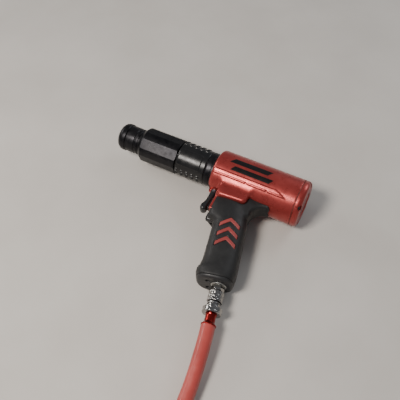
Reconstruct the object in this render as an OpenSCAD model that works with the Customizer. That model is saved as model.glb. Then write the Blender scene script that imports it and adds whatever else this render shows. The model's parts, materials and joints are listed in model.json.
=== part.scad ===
// Pistol-grip pneumatic rivet gun with a quick-change retainer, lying on its right side
// as it is put down on a bench, with a short leader hose on its air inlet.
// Each piece is drawn in an upright gun frame: X runs along the barrel with the muzzle at
// -X, +Z is up, -Z is towards the grip and -Y is the gun's left side. X = 0 is the front
// face of the housing and Z = 0 the barrel axis. lay_down() then puts it on its side.

/* [Housing] */
// Radius of the round housing
body_r = 29; // [28.5:0.1:29.5]
// Length of the round housing in front of its rear cap
body_len = 107.6; // [107:0.1:110]
// Thickness of the rear cap
cap_len = 8; // [7:0.5:9]

/* [Barrel and retainer] */
// Radius of the barrel where the shroud covers it
barrel_r = 16; // [15.9:0.05:16.2]
// Radius of the piston bore
bore_r = 9.55; // [9.5:0.01:9.6]
// Radius of the bore that takes a 0.401 inch shank
shank_r = 5.15; // [5.12:0.01:5.25]
// Outer radius of the dotted shroud
shroud_r = 22; // [21.5:0.1:22.5]
// Outer radius of the faceted retainer sleeve
sleeve_r = 22.3; // [22:0.1:22.8]
// Outer radius of the sliding collar
collar_r = 17; // [16.8:0.1:17.1]

/* [Trigger and valve] */
// Half width of the trigger's finger pad
trigger_half = 6.5; // [5.5:0.1:7]
// Radius of the throttle plunger's stem
plunger_r = 2.5; // [2.4:0.05:2.6]

/* [Grip] */
// Angle at which the grip leans back
rake = 12.5; // [11:0.5:14]
// Half of the grip's front-to-back depth
grip_half_depth = 20.5; // [20:0.1:21]
// Half of the grip's thickness
grip_half_thick = 18.3; // [18:0.1:18.6]

/* [Air inlet and hose] */
// Outer radius of the hose
hose_r = 8; // [7.5:0.25:8]
// Outer radius of the coupler's rear ring
coupler_ring_r = 11; // [10.5:0.1:11.5]
// Middle radius of the hose coil
coil_r = 86; // [84:1:90]

/* [Hidden] */

$fn = 96;
eps = 0.01;

red_paint = "#96382f";
black_rubber = "#262626";
black_steel = "#3a3a3a";
bright_steel = "#b9bcc0";
brass = "#b08d57";

// Stations along the barrel
nose_x = -138.6;         // front of the sliding collar
collar_rear_x = -104.4;  // rear of the collar, inside the retainer sleeve
sleeve_front_x = -106;   // front of the retainer sleeve
body_step_x = -96;       // where the retainer body grows from its neck
shank_mouth_x = -94.4;   // mouth of the shank bore, at the barrel's front end
bore_front_x = -62.4;    // front end of the piston bore
spigot_rear_x = -60.4;   // rear end of the barrel's front spigot
sleeve_rear_x = -51;     // rear of the retainer sleeve
shroud_front_x = -50.5;  // front of the dotted shroud
ring_front_x = -10.5;    // front of the barrel lock ring
ring_seat_x = 14;        // bottom of the lock ring's seat in the housing
flange_x = 62;           // front of the barrel's rear flange
barrel_rear_x = 71.6;    // rear end of the barrel
valve_disc_x = 80.2;     // front of the valve disc at rest
block_rear_x = 84;       // joint between the valve block and its cover
cover_rear_x = 97;       // rear of the valve cover
buffer_rear_x = 105;     // rear of the rubber buffer
gasket_len = 0.6;
cap_x = body_len + gasket_len;
rear_x = cap_x + cap_len;

// Fits
running_gap = 0.05;
neck_r = 13;             // neck of the retainer body
neck_bore_r = 8.3;       // lets the shank's own collar pass
root_r = 16.5;           // rear part of the retainer body
ring_seat_r = 19;        // lock ring's seat in the housing
chamber_r = 17.5;        // exhaust space around the barrel
stack_r = 20;            // barrel flange and valve stack
screw_pitch_r = 24.6;    // rear cap screws
screw_r = 2;
screw_head_r = 3.5;
pin_r = 2;               // trigger pin

nose_len = 12;           // length of the collar's rounded nose
nose_r = collar_r + 0.8;
collar_grooves = [24.8, 30.1]; // front edges of the collar's grip grooves
clip_x = nose_x + 9;     // front of the snap ring

// Retainer balls
ball_r = 2.7;
ball_x = nose_x + 17.2;
ball_seat_r = 10.1;      // distance of a ball's centre from the barrel axis at rest

// Trigger, throttle and regulator
pivot = [10.5, -30.8];   // trigger pivot in X and Z
lug_r = 4.6;             // lug that carries the trigger pin
lug_half = 3.8;
front_web_x = 16.6;      // front face of the casting behind the trigger
web_rear_x = 22;         // bottom of the trigger's slot
throttle_z = -50;
throttle_bore_r = 6;
bushing_rear_x = 32;
seat_rear_x = 33.6;
poppet_rear_x = 36;
plunger_front_x = 17.25;
throttle_end_x = 54;
regulator_z = -64.3;
knob_r = 6.2;
knob_room_r = 6.5;       // space left around the regulator knob
spindle_r = 3;

// Grip frame: its origin lies on the grip's axis, halfway down
grip_x = 54.6;
grip_z = -93;
base_w = 45.5;           // where the rubber ends and the base cap starts
base_len = 4;            // thickness of the base cap
inlet_v = 4;             // the inlet is this far behind the grip's axis
chevron_pitch = 12.5;    // spacing of the chevrons let into the grip

// Stations along the inlet axis, measured from the outer face of the base cap
hex_t = [0.6, 6.4];
sleeve_t = [7.4, 19.4];
ring_t = [26.4, 33.6];
fitting_end_t = 47;
coupler_r = 6.9;
plug_r = 4.6;
bushing_r = 9;
bushing_len = 18;        // depth of the inlet bushing's seat
exhaust_r = 2.6;
exhaust_y = 8.2;

// The housing and the grip's base both rest on the floor
base_edge_p = 139;
base_edge_q = 20;
roll = asin(body_r / norm([base_edge_p, base_edge_q])) - atan2(base_edge_q, base_edge_p);
base_p = -grip_z + (base_w + base_len) * cos(rake) - inlet_v * sin(rake);
fitting_p = base_p + fitting_end_t * cos(rake);
fitting_r = 8.6;
low_y = fitting_p * cos(roll) + fitting_r * norm([sin(rake) * cos(roll), sin(roll)]);
centre_x = (nose_x + rear_x) / 2;
centre_y = (low_y - body_r) / 2;

// ---------------------------------------------------------------- placing

module lay_down() {
    translate([-centre_x, centre_y, body_r]) rotate([-90 + roll, 0, 0]) children();
}

// Puts a shape that is drawn along +Z on the barrel axis, with +Z turned to +X
module along_barrel(x = 0) {
    translate([x, 0, 0]) rotate([0, 90, 0]) children();
}

module across(x, z) {
    translate([x, 0, z]) rotate([90, 0, 0]) children();
}

module at_grip() {
    translate([grip_x, 0, grip_z]) rotate([0, 180 - rake, 0]) rotate([0, 0, 180]) children();
}

module at_inlet() {
    at_grip() translate([inlet_v, 0, base_w + base_len]) children();
}

// ---------------------------------------------------------------- shapes

module tube(r_out, r_in, len) {
    difference() {
        cylinder(r = r_out, h = len);
        translate([0, 0, -1]) cylinder(r = r_in, h = len + 2);
    }
}

function arc(cx, cy, r, a0, a1, n = 8) =
    [for (i = [0:n]) [cx + r * cos(a0 + (a1 - a0) * i / n), cy + r * sin(a0 + (a1 - a0) * i / n)]];

// A round wire wound around Z from z = 0 to z = len
module spring(mean_r, wire_r, len, turns) {
    sides = 6;
    per_turn = 20;
    rings = turns * per_turn;
    pitch = (len - 2 * wire_r) / turns;
    function ring_pt(i, j) =
        let (a = 360 * i / per_turn, b = 360 * j / sides, r = mean_r + wire_r * cos(b))
        [r * cos(a), r * sin(a), wire_r + pitch * i / per_turn + wire_r * sin(b)];
    points = [for (i = [0:rings]) for (j = [0:sides - 1]) ring_pt(i, j)];
    walls = [for (i = [0:rings - 1]) for (j = [0:sides - 1])
        let (k = (j + 1) % sides) each [
            [i * sides + j, i * sides + k, (i + 1) * sides + k],
            [i * sides + j, (i + 1) * sides + k, (i + 1) * sides + j]]];
    ends = [[for (j = [sides - 1:-1:0]) j], [for (j = [0:sides - 1]) rings * sides + j]];
    polyhedron(points, concat(walls, ends));
}

// A closed surface through rings of points, all with the same number of points
module loft(rings) {
    n = len(rings[0]);
    last = len(rings) - 1;
    points = [for (ring = rings) each ring];
    walls = [for (i = [0:last - 1]) for (j = [0:n - 1])
        let (k = (j + 1) % n) each [
            [i * n + j, (i + 1) * n + j, i * n + k],
            [i * n + k, (i + 1) * n + j, (i + 1) * n + k]]];
    ends = [[for (j = [0:n - 1]) j], [for (j = [n - 1:-1:0]) last * n + j]];
    polyhedron(points, concat(walls, ends));
}

// ---------------------------------------------------------------- housing

module housing_profile() {
    rotate_extrude() polygon(concat(
        [[0, 0]], arc(body_r - 4, 4, 4, -90, 0), [[body_r, body_len], [0, body_len]]));
}

// The neck that joins the round housing to the grip, seen from the side
module neck_block() {
    rotate([90, 0, 0]) translate([0, 0, -19]) linear_extrude(38)
        polygon(concat([[front_web_x, -10], [front_web_x, -38]], [[web_rear_x, -41]],
                       arc(49, -33, 6, -80, 0), [[55, -10]]));
}

// Seat of the inlet bushing
module inlet_seat() {
    at_inlet() translate([0, 0, -bushing_len]) cylinder(r = bushing_r, h = 30);
}

// Two passages beside the inlet that carry the exhaust down the grip
module exhaust_passages(top_w) {
    for (side = [-1, 1]) at_grip() translate([-8, exhaust_y * side, top_w])
        cylinder(r = exhaust_r, h = 140);
}

module grip_core() {
    at_grip() translate([-15, -11.5, -52]) cube([29, 23, 52 + base_w - 2]);
}

module housing_casting() {
    along_barrel() housing_profile();
    intersection() {
        neck_block();
        rotate([0, 90, 0]) cylinder(r = 48, h = 80);
    }
    grip_core();
    // Front web behind the trigger
    translate([front_web_x, -12, -59]) cube([web_rear_x + 8 - front_web_x, 24, 45]);
    // Boss for the regulator
    translate([29.2, -9, -72]) cube([18, 18, 30]);
}

// Room for the trigger, with a slot through the front web for its narrow part
module trigger_pocket() {
    translate([0.8, -7.1, -40]) cube([front_web_x - 0.8, 14.2, 16.4]);
    translate([front_web_x - 1, -4.4, -57]) cube([web_rear_x - front_web_x + 1, 8.8, 33.4]);
}

module housing() {
    color(red_paint) lay_down() difference() {
        union() {
            difference() {
                housing_casting();
                trigger_pocket();
            }
            // Lug that carries the trigger pin
            across(pivot[0], pivot[1]) cylinder(r = lug_r, h = 2 * lug_half, center = true);
            translate([pivot[0] - lug_r, -lug_half, pivot[1]]) cube([2 * lug_r, 2 * lug_half, 8]);
        }
        across(pivot[0], pivot[1]) cylinder(r = pin_r, h = 30, center = true);
        // Barrel and valve stack
        along_barrel(-1) cylinder(r = ring_seat_r, h = ring_seat_x + 1);
        along_barrel(ring_seat_x - 1) cylinder(r = chamber_r, h = flange_x - ring_seat_x + 2);
        along_barrel(flange_x) cylinder(r = stack_r, h = body_len);
        // Throttle and regulator bores
        along_barrel(web_rear_x - 1) translate([-throttle_z, 0, 0])
            cylinder(r = throttle_bore_r, h = throttle_end_x - web_rear_x + 1);
        along_barrel(20) translate([-regulator_z, 0, 0]) cylinder(r = spindle_r + 0.02, h = 38);
        along_barrel(front_web_x - 1) translate([-regulator_z, 0, 0])
            cylinder(r = knob_room_r, h = 13.6);
        // Live air: throttle to valve chamber
        translate([26, 0, throttle_z]) cylinder(r = 2.5, h = 25);
        along_barrel(23) translate([24.4, 0, 0]) cylinder(r = 2.5, h = body_len);
        translate([98.6, 0, -24.4]) cylinder(r = 1.5, h = 8);
        // Inlet passage and the bushing's seat
        at_inlet() translate([0, 0, -92]) cylinder(r = 4.5, h = 100);
        inlet_seat();
        exhaust_passages(-76);
        // Holes for the rear cap's screws
        for (a = [45:90:315]) along_barrel(body_len - 14) rotate([0, 0, a])
            translate([screw_pitch_r, 0, 0]) cylinder(r = screw_r, h = 20, $fn = 24);
    }
}

module rear_cap() {
    color(red_paint) lay_down() difference() {
        union() {
            along_barrel(cap_x) rotate_extrude() polygon(concat(
                [[0, 0], [body_r, 0]], arc(body_r - 5, cap_len - 5, 5, 0, 90),
                [[16, cap_len], [15, cap_len - 1.2], [0, cap_len - 1.2]]));
            along_barrel(buffer_rear_x)
                cylinder(r = stack_r - running_gap, h = cap_x - buffer_rear_x + 1);
        }
        for (a = [45:90:315]) rotate([a, 0, 0]) along_barrel(cap_x - 5) translate([screw_pitch_r, 0, 0]) {
            cylinder(r = screw_r + 0.2, h = 30, $fn = 24);
            translate([0, 0, 7.5]) cylinder(r = screw_head_r + 0.3, h = 30, $fn = 32);
        }
    }
}

module rear_cap_gasket() {
    color(black_rubber) lay_down() difference() {
        along_barrel(body_len) tube(body_r - 1, stack_r, gasket_len);
        for (a = [45:90:315]) rotate([a, 0, 0]) along_barrel(body_len - 5)
            translate([screw_pitch_r, 0, 0]) cylinder(r = screw_r + 0.2, h = 30, $fn = 24);
        along_barrel(body_len - 5) translate([24.4, 0, 0]) cylinder(r = 2.5, h = 8);
    }
}

module rear_cap_screws() {
    color(bright_steel) lay_down() for (a = [45:90:315]) rotate([a, 0, 0])
        translate([0, 0, -screw_pitch_r]) along_barrel(cap_x - 12) difference() {
            union() {
                cylinder(r = screw_r, h = 16, $fn = 24);
                translate([0, 0, 14.5]) cylinder(r = screw_head_r, h = 3.6, $fn = 32);
            }
            translate([0, 0, 16]) cylinder(r = 1.7, h = 3, $fn = 6);
        }
}

module rear_buffer() {
    color(black_rubber) lay_down() along_barrel(cover_rear_x) difference() {
        tube(stack_r - 0.2, 9, buffer_rear_x - cover_rear_x);
        translate([stack_r, 0, 0]) cube([5, 8, 5], center = true);
    }
}

// ---------------------------------------------------------------- barrel and valve

module barrel() {
    color(bright_steel) lay_down() difference() {
        union() {
            along_barrel(shank_mouth_x) cylinder(r = 12, h = 40);
            along_barrel(spigot_rear_x) cylinder(r = barrel_r, h = flange_x - spigot_rear_x + 1);
            along_barrel(flange_x) cylinder(r = stack_r - running_gap, h = barrel_rear_x - flange_x);
        }
        along_barrel(shank_mouth_x - 1) cylinder(r = shank_r, h = 60);
        along_barrel(bore_front_x) cylinder(r = bore_r, h = 200);
        // Exhaust ports into the chamber around the barrel
        for (a = [0:60:300]) rotate([a, 0, 0]) translate([24, 0, 5]) cylinder(r = 2, h = 20, $fn = 24);
        // Dowel holes
        for (side = [-1, 1]) along_barrel(barrel_rear_x - 5) translate([0, 15.5 * side, 0])
            cylinder(r = 1.5, h = 10, $fn = 24);
    }
}

module barrel_lock_ring() {
    color(black_steel) lay_down() difference() {
        union() {
            along_barrel(ring_front_x) cylinder(r = 21.6, h = -ring_front_x);
            along_barrel(-1) cylinder(r = ring_seat_r, h = ring_seat_x + 1);
        }
        along_barrel(ring_front_x - 1) cylinder(r = barrel_r, h = 40);
    }
}

module barrel_shroud() {
    color(black_rubber) lay_down()
        along_barrel(shroud_front_x) tube(shroud_r, barrel_r, ring_front_x - shroud_front_x);
}

module piston() {
    r = bore_r - running_gap;
    color("#8d9094") lay_down() along_barrel(bore_front_x + 0.1) rotate_extrude()
        polygon([[0, 0], [6, 0], [r, 3], [r, 15], [r - 0.5, 15.5], [r - 0.5, 17.5], [r, 18],
                 [r, 41], [r - 1, 42], [0, 42]]);
}

module valve_block() {
    color(bright_steel) lay_down() difference() {
        along_barrel(barrel_rear_x) cylinder(r = stack_r - running_gap, h = block_rear_x - barrel_rear_x);
        along_barrel(barrel_rear_x - 1) cylinder(r = 5, h = 20);
        along_barrel(valve_disc_x - 0.2) cylinder(r = 12, h = 20);
        for (side = [-1, 1]) along_barrel(barrel_rear_x - 5) translate([0, 15.5 * side, 0])
            cylinder(r = 1.5, h = 30, $fn = 24);
    }
}

module valve_disc() {
    color("#c9c4a8") lay_down() along_barrel(valve_disc_x) cylinder(r = 11.7, h = 2.2);
}

module valve_cover() {
    color(bright_steel) lay_down() difference() {
        along_barrel(block_rear_x) cylinder(r = stack_r - running_gap, h = cover_rear_x - block_rear_x);
        along_barrel(block_rear_x - 1) cylinder(r = 4, h = 20);
        for (a = [0:60:300]) rotate([a, 0, 0]) along_barrel(block_rear_x - 1)
            translate([9, 0, 0]) cylinder(r = 1.5, h = 20, $fn = 24);
        for (side = [-1, 1]) along_barrel(block_rear_x - 5) translate([0, 15.5 * side, 0])
            cylinder(r = 1.5, h = 12, $fn = 24);
    }
}

module valve_dowels() {
    color("#8d9094") lay_down() for (side = [-1, 1]) along_barrel(barrel_rear_x - 5)
        translate([0, 15.5 * side, 0]) cylinder(r = 1.5, h = 24, $fn = 24);
}

// ---------------------------------------------------------------- quick-change retainer

module retainer_body() {
    color(black_steel) lay_down() difference() {
        union() {
            along_barrel(nose_x + 7.5) cylinder(r = neck_r, h = 50);
            along_barrel(body_step_x) cylinder(r = root_r, h = spigot_rear_x - body_step_x);
        }
        along_barrel(nose_x) cylinder(r = neck_bore_r, h = 60);
        along_barrel(shank_mouth_x) cylinder(r = 12, h = 60);
        along_barrel(clip_x) tube(neck_r + 1, 12, 1.2);
        for (a = [0, 120, 240]) rotate([a, 0, 0]) translate([ball_x, 0, 4])
            cylinder(r = ball_r + running_gap, h = 12);
    }
}

module retainer_sleeve() {
    color(black_steel) lay_down() difference() {
        along_barrel(sleeve_front_x) rotate_extrude() polygon([
            [collar_r + 0.3, 0], [sleeve_r - 4.8, 0], [sleeve_r, 5], [sleeve_r, 54.2],
            [sleeve_r - 0.8, sleeve_rear_x - sleeve_front_x], [root_r, sleeve_rear_x - sleeve_front_x],
            [root_r, body_step_x - sleeve_front_x], [collar_r + 0.3, body_step_x - sleeve_front_x]]);
        // Six flats, each 33 degrees wide, with round lands between them
        for (i = [0:5]) rotate([36.5 + 60 * i, 0, 0]) 
            translate([sleeve_front_x - 1, sleeve_r * cos(16.5), -15]) cube([80, 10, 30]);
    }
}

// The cone lets the balls move out as the collar slides back over them
module retainer_collar() {
    land = neck_r + running_gap;
    color(black_steel) lay_down() along_barrel(nose_x) rotate_extrude() polygon([
        [16, 8], [16, nose_len], [collar_r, nose_len],
        for (h = collar_grooves) each [[collar_r, h - 0.6], [collar_r - 0.6, h],
                                       [collar_r - 0.6, h + 1], [collar_r, h + 1.6]],
        [collar_r, collar_rear_x - nose_x], [15.4, collar_rear_x - nose_x], [15.4, 21.2],
        [land, 21.2], [land, 18.2], [15, 12], [15, 11.4], [14.2, 11], [14.2, 10.3], [15, 10.3]]);
}

// Rounded nose pressed onto the collar's front, over the neck's end and its clip
module retainer_nose() {
    color(black_steel) lay_down() along_barrel(nose_x) rotate_extrude() polygon(concat(
        [[9.2, 0.4], [9.6, 0]], arc(nose_r - 8, 8, 8, -90, 0, 12),
        [[nose_r, nose_len - 0.6], [nose_r - 0.6, nose_len], [16, nose_len], [16, 8], [15.1, 8],
         [15.1, 3.8], [13.3, 3.8], [13.3, 2], [9.2, 2]]));
}

module retainer_spring() {
    color(bright_steel) lay_down() along_barrel(nose_x + 21.3)
        spring(14.2, 0.6, body_step_x - nose_x - 21.4, 6);
}

module retainer_clip() {
    color(bright_steel) lay_down() along_barrel(clip_x) difference() {
        tube(14.6, 12, 1.2);
        translate([0, -1.5, -1]) cube([20, 3, 4]);
    }
}

module retainer_ball(i) {
    color(bright_steel) lay_down() rotate([120 * i, 0, 0])
        translate([ball_x, 0, ball_seat_r]) sphere(r = ball_r, $fn = 32);
}

// ---------------------------------------------------------------- trigger and throttle

module trigger() {
    color(black_rubber) lay_down() difference() {
        union() {
            // Finger pad with its hooked tip
            across(0, 0) translate([0, 0, -trigger_half]) linear_extrude(2 * trigger_half)
                polygon(concat([[14.4, -30.8]], arc(pivot[0], pivot[1], 4, 0, 180),
                    [[6.6, -34], [7.2, -39], [7.2, -44], [6.4, -49], [5.2, -53]],
                    arc(8.6, -56.6, 4, 160, 290), [[12.4, -59], [12.6, -54], [13.4, -44], [14.4, -36]]));
            // Narrow web that reaches the plunger through the slot
            across(0, 0) translate([0, 0, -4]) linear_extrude(8)
                polygon([[10, -33], [14, -31], [16.9, -36], [16.9, -54], [15, -55.6], [10, -54]]);
        }
        across(pivot[0], pivot[1]) cylinder(r = pin_r + running_gap, h = 30, center = true);
        // Fork that straddles the housing's lug
        across(pivot[0], pivot[1]) cylinder(r = lug_r + 1, h = 2 * lug_half + 0.6, center = true);
    }
}

module trigger_pin() {
    color(bright_steel) lay_down() across(pivot[0], pivot[1])
        cylinder(r = pin_r, h = 2 * trigger_half - 0.6, center = true);
}

module throttle_plunger() {
    color(brass) lay_down() translate([0, 0, throttle_z]) along_barrel() rotate_extrude() polygon(
        concat([[0, plunger_front_x]], arc(plunger_r - 1, plunger_front_x + 1, 1, -90, 0, 4),
               [[plunger_r, seat_rear_x + 0.05], [5, seat_rear_x + 0.05], [5, poppet_rear_x],
                [2, poppet_rear_x], [2, poppet_rear_x + 4], [0, poppet_rear_x + 4]]));
}

module throttle_bushing() {
    color(brass) lay_down() difference() {
        translate([0, 0, throttle_z]) along_barrel(web_rear_x)
            cylinder(r = throttle_bore_r, h = bushing_rear_x - web_rear_x);
        translate([0, 0, throttle_z]) along_barrel(web_rear_x - 1)
            cylinder(r = plunger_r + running_gap, h = 20);
        translate([0, 0, throttle_z]) along_barrel(25) cylinder(r = 3.8, h = 20);
        translate([26, 0, throttle_z]) cylinder(r = 1, h = 10, $fn = 24);
    }
}

module throttle_seat() {
    color(black_rubber) lay_down() translate([0, 0, throttle_z]) along_barrel(bushing_rear_x)
        tube(throttle_bore_r, 3.6, seat_rear_x - bushing_rear_x);
}

module throttle_spring() {
    color(bright_steel) lay_down() translate([0, 0, throttle_z]) along_barrel(poppet_rear_x)
        spring(3.4, 0.4, throttle_end_x - poppet_rear_x - 0.1, 8);
}

module regulator_knob() {
    color(black_rubber) lay_down() translate([0, 0, regulator_z]) along_barrel(19) difference() {
        cylinder(r = knob_r, h = 9.8);
        for (a = [0:30:330]) rotate([0, 0, a]) translate([knob_r + 0.5, 0, -1])
            cylinder(r = 1, h = 9, $fn = 16);
        translate([0, 0, 1]) cylinder(r = spindle_r, h = 20);
    }
}

module regulator_ring() {
    color(red_paint) lay_down() translate([0, 0, regulator_z]) along_barrel(17.6) difference() {
        cylinder(r1 = 5.2, r2 = 5.9, h = 1.4);
        translate([-4, -0.6, -1]) cube([8, 1.2, 1.6]);
    }
}

module regulator_spindle() {
    color(brass) lay_down() translate([0, 0, regulator_z]) along_barrel(20) difference() {
        cylinder(r = spindle_r - running_gap + 0.02, h = 37);
        // Half-moon cut that closes the inlet passage as the spindle turns
        translate([0.6, -5, 27]) cube([5, 10, 9]);
        translate([0, 0, 14]) tube(6, 2.2, 1.6);
    }
}

module regulator_seal() {
    color(black_rubber) lay_down() translate([0, 0, regulator_z]) along_barrel(34.1)
        tube(spindle_r - running_gap, 2.25, 1.4);
}

// ---------------------------------------------------------------- grip

// Half of a rounded section: x is front to back, y across
function section(front, back, half, w, n = 40, power = 2.6) =
    [for (i = [0:n - 1])
        let (a = 360 * i / n, c = cos(a), s = sin(a),
             mid = (front + back) / 2, reach = (back - front) / 2)
        [mid + reach * sign(c) * pow(abs(c), 2 / power), half * sign(s) * pow(abs(s), 2 / power), w]];

// Each row is the distance down the grip, then its front, back and half thickness there
grip_rows = [[-66, -33, 18, 14], [-56, -31, 17.5, 16], [-46, -31, 17.8, 17.2],
             [-37, -31, 18.6, 17.8], [-30.5, -28.5, 19.3, 18], [-27, -22, 19.7, 18.1],
             [-22, -grip_half_depth, 20.2, grip_half_thick],
             [0, -grip_half_depth, 20.7, grip_half_thick],
             [22, -grip_half_depth - 0.2, 21.2, grip_half_thick + 0.2],
             [31, -22, 21.3, 18.9], [36, -24.6, 21.2, 19.4], [40, -24.4, 20.8, 19.6],
             [base_w, -22.5, 20, 19.6]];

// The grip's outer surface, moved outwards by grow
module grip_skin(grow) {
    at_grip() loft([for (row = grip_rows) section(row[1] - grow, row[2] + grow, row[3] + grow, row[0])]);
}

module grip_rubber() {
    color(black_rubber) lay_down() difference() {
        union() {
            grip_skin(0);
            // Saddle under the rear of the housing
            rotate([90, 0, 0]) translate([0, 0, -12]) linear_extrude(24)
                polygon(concat([[46, -24]], [[82, -24], [82, -28.9]], arc(84, -50.9, 21.4, 95, 172)));
        }
        rotate([0, 90, 0]) cylinder(r = body_r, h = 120);
        neck_block();
        grip_core();
        translate([-20, -30, -80]) cube([web_rear_x + 20, 60, 70]);
        translate([20, -12, -59.01]) cube([10, 24, 45]);
        translate([29.2, -9, -72]) cube([18, 18, 30]);
        translate([0, 0, regulator_z]) along_barrel(10) cylinder(r = 7, h = 19.2);
        translate([10, -30, -100]) cube([19, 60, 29.5]);
        inlet_seat();
        exhaust_passages(0);
        chevrons();
    }
}

// Three chevrons let into the left side of the grip, a little proud of the rubber
module chevrons() {
    difference() {
        intersection() {
            grip_skin(0.2);
            at_grip() for (i = [0:2])
                translate([1, 0, chevron_pitch * i - 16]) rotate([-90, 0, 0]) linear_extrude(25)
                    polygon([[-12, 0], [0, 8.5], [12, 0], [12, 5.5], [0, 14], [-12, 5.5]]);
        }
        grip_skin(-1.6);
    }
}

module grip_inlay() {
    color("#a3322c") lay_down() chevrons();
}

module base_cap() {
    color(black_rubber) lay_down() difference() {
        at_grip() loft([
            section(-22.5, 20, 19.6, base_w), section(-21.5, 19.4, 19, base_w + 2.4),
            section(-19, 17, 16.5, base_w + base_len)]);
        inlet_seat();
        exhaust_passages(0);
    }
}

module exhaust_muffler() {
    color("#8a8578") lay_down() for (side = [-1, 1])
        at_grip() translate([-8, exhaust_y * side, base_w - 14]) cylinder(r = exhaust_r, h = 12);
}

// ---------------------------------------------------------------- air inlet and coupler

module inlet_bushing() {
    color(bright_steel) lay_down() at_inlet() translate([0, 0, -bushing_len])
        tube(bushing_r, 5, bushing_len + 0.4);
}

module inlet_screen() {
    color(brass) lay_down() at_inlet() translate([0, 0, -17.4]) difference() {
        cylinder(r = 5, h = 1);
        for (x = [-3:1.5:3]) for (y = [-3:1.5:3]) if (norm([x, y]) < 4)
            translate([x, y, -1]) cylinder(r = 0.45, h = 3, $fn = 16);
    }
}

module air_plug() {
    color(bright_steel) lay_down() at_inlet() difference() {
        union() {
            translate([0, 0, -10]) cylinder(r = 5, h = 12);
            translate([0, 0, hex_t[0]]) cylinder(r = 7.6, h = hex_t[1] - hex_t[0], $fn = 6);
            rotate_extrude() polygon([[0, 6], [plug_r, 6], [plug_r, 9], [3.7, 9.9], [3.7, 12],
                [plug_r, 12.9], [plug_r, 20], [3.6, 22], [3.6, 25], [0, 25]]);
        }
        translate([0, 0, -11]) cylinder(r = 2.4, h = 40);
    }
}

module coupler_body() {
    color(bright_steel) lay_down() at_inlet() difference() {
        union() {
            translate([0, 0, sleeve_t[0] + 0.4]) cylinder(r = coupler_r, h = 20);
            translate([0, 0, ring_t[0]]) rotate_extrude() polygon([
                [0, 0], [coupler_ring_r - 1, 0], [coupler_ring_r, 1], [coupler_ring_r, 6.2],
                [coupler_ring_r - 1, ring_t[1] - ring_t[0]], [0, ring_t[1] - ring_t[0]]]);
        }
        translate([0, 0, 0]) cylinder(r = plug_r + running_gap, h = 25.2);
        translate([0, 0, 20]) cylinder(r = 3.4, h = 30);
        translate([0, 0, 27.4]) cylinder(r = 5, h = 30);
        for (a = [0:90:270]) rotate([0, 0, a]) translate([0, 0, 10.9]) rotate([0, 90, 0])
            cylinder(r = 1.3, h = 10, $fn = 24);
    }
}

module coupler_sleeve() {
    land = coupler_r + running_gap;
    color(bright_steel) lay_down() at_inlet() translate([0, 0, sleeve_t[0]]) rotate_extrude() polygon([
        [land, 0], [8.1, 0], [8.7, 0.7], [8.7, 3], [8, 3.6], [8.2, 5.2], [8.7, 5.8], [8.7, 8],
        [8, 8.6], [8.2, 9.8], [8.7, 10.4], [8.7, 11.6], [8.4, 12], [8, 12], [8, 5], [land, 5]]);
}

module coupler_spring() {
    color(bright_steel) lay_down() at_inlet() translate([0, 0, sleeve_t[0] + 5.1])
        spring(7.45, 0.35, ring_t[0] - sleeve_t[0] - 5.2, 5);
}

module coupler_balls() {
    color("#8d9094") lay_down() at_inlet() for (a = [0:90:270]) rotate([0, 0, a])
        translate([5.6, 0, 10.9]) sphere(r = 1.25, $fn = 24);
}

module coupler_valve() {
    color(brass) lay_down() at_inlet() difference() {
        union() {
            translate([0, 0, 25.1]) cylinder(r = 3.3, h = 3);
            translate([0, 0, 28]) cylinder(r = 4.5, h = 1.6);
        }
        for (a = [0:120:240]) rotate([0, 0, a]) translate([2.6, 0, 20]) cylinder(r = 0.8, h = 20, $fn = 16);
    }
}

// ---------------------------------------------------------------- hose

module hose_fitting() {
    color("#7a2320") lay_down() at_inlet() difference() {
        union() {
            translate([0, 0, 30]) cylinder(r = 5, h = 6);
            translate([0, 0, ring_t[1]]) rotate_extrude() polygon([[0, 0], [6.4, 0], [5.9, 1.5],
                [5.9, 9], [7.2, 11], [fitting_r, 12.2], [fitting_r, fitting_end_t - ring_t[1]],
                [0, fitting_end_t - ring_t[1]]]);
        }
        translate([0, 0, 29]) cylinder(r = 3, h = 30);
    }
}

// The hose leaves the fitting, sinks to the floor and runs to the side of its coil
hose_route = [[90.5, -106.5, 17], [94, -122, 16], [97.5, -140, 14.5], [100.5, -158, 12.5],
              [103, -178, 10.5], [105, -200, 9], [106.5, -225, 8.5], [107.5, -250, 8.5],
              [107.5, -280, 8.5], [107.5, -310, 8.5], [107.5, -330, 8.8]];

// The coil lies flat: one turn, then a part turn inside it that climbs over the first
coil_centre = [7.5, -370];
coil_pitch = 16.5;
coil_z = 9;
coil_end = 432;
climb_start = 354;
climb_height = 16.6;
tail_len = 36;

function smooth(u) = let (t = max(0, min(1, u))) t * t * (3 - 2 * t);
function coil_point(a) =
    let (r = coil_r + 14 - coil_pitch * a / 360)
    [coil_centre[0] + r * cos(a), coil_centre[1] - r * sin(a),
     coil_z + climb_height * smooth((a - climb_start) / (coil_end - climb_start))];
tail_dir = [-sin(coil_end), -cos(coil_end), 0];
tail_route = concat([for (a = [380:6.5:coil_end]) coil_point(a)],
                    [for (t = [tail_len / 3:tail_len / 3:tail_len + eps])
                        coil_point(coil_end) + t * tail_dir]);

function unit(v) = v / norm(v);
// Rings square to the route, level across
function hose_ring(route, i) =
    let (last = len(route) - 1,
         ahead = unit(route[min(i + 1, last)] - route[max(i - 1, 0)]),
         side = unit(cross(ahead, [0, 0, 1])),
         up = cross(side, ahead))
    [for (k = [0:11]) route[i] + hose_r * (cos(30 * k) * side + sin(30 * k) * up)];

module hose() {
    color("#b5564f") loft([for (i = [0:len(hose_route) - 1]) hose_ring(hose_route, i)]);
}

module hose_tail() {
    color("#b5564f") loft([for (i = [0:len(tail_route) - 1]) hose_ring(tail_route, i)]);
}

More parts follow.
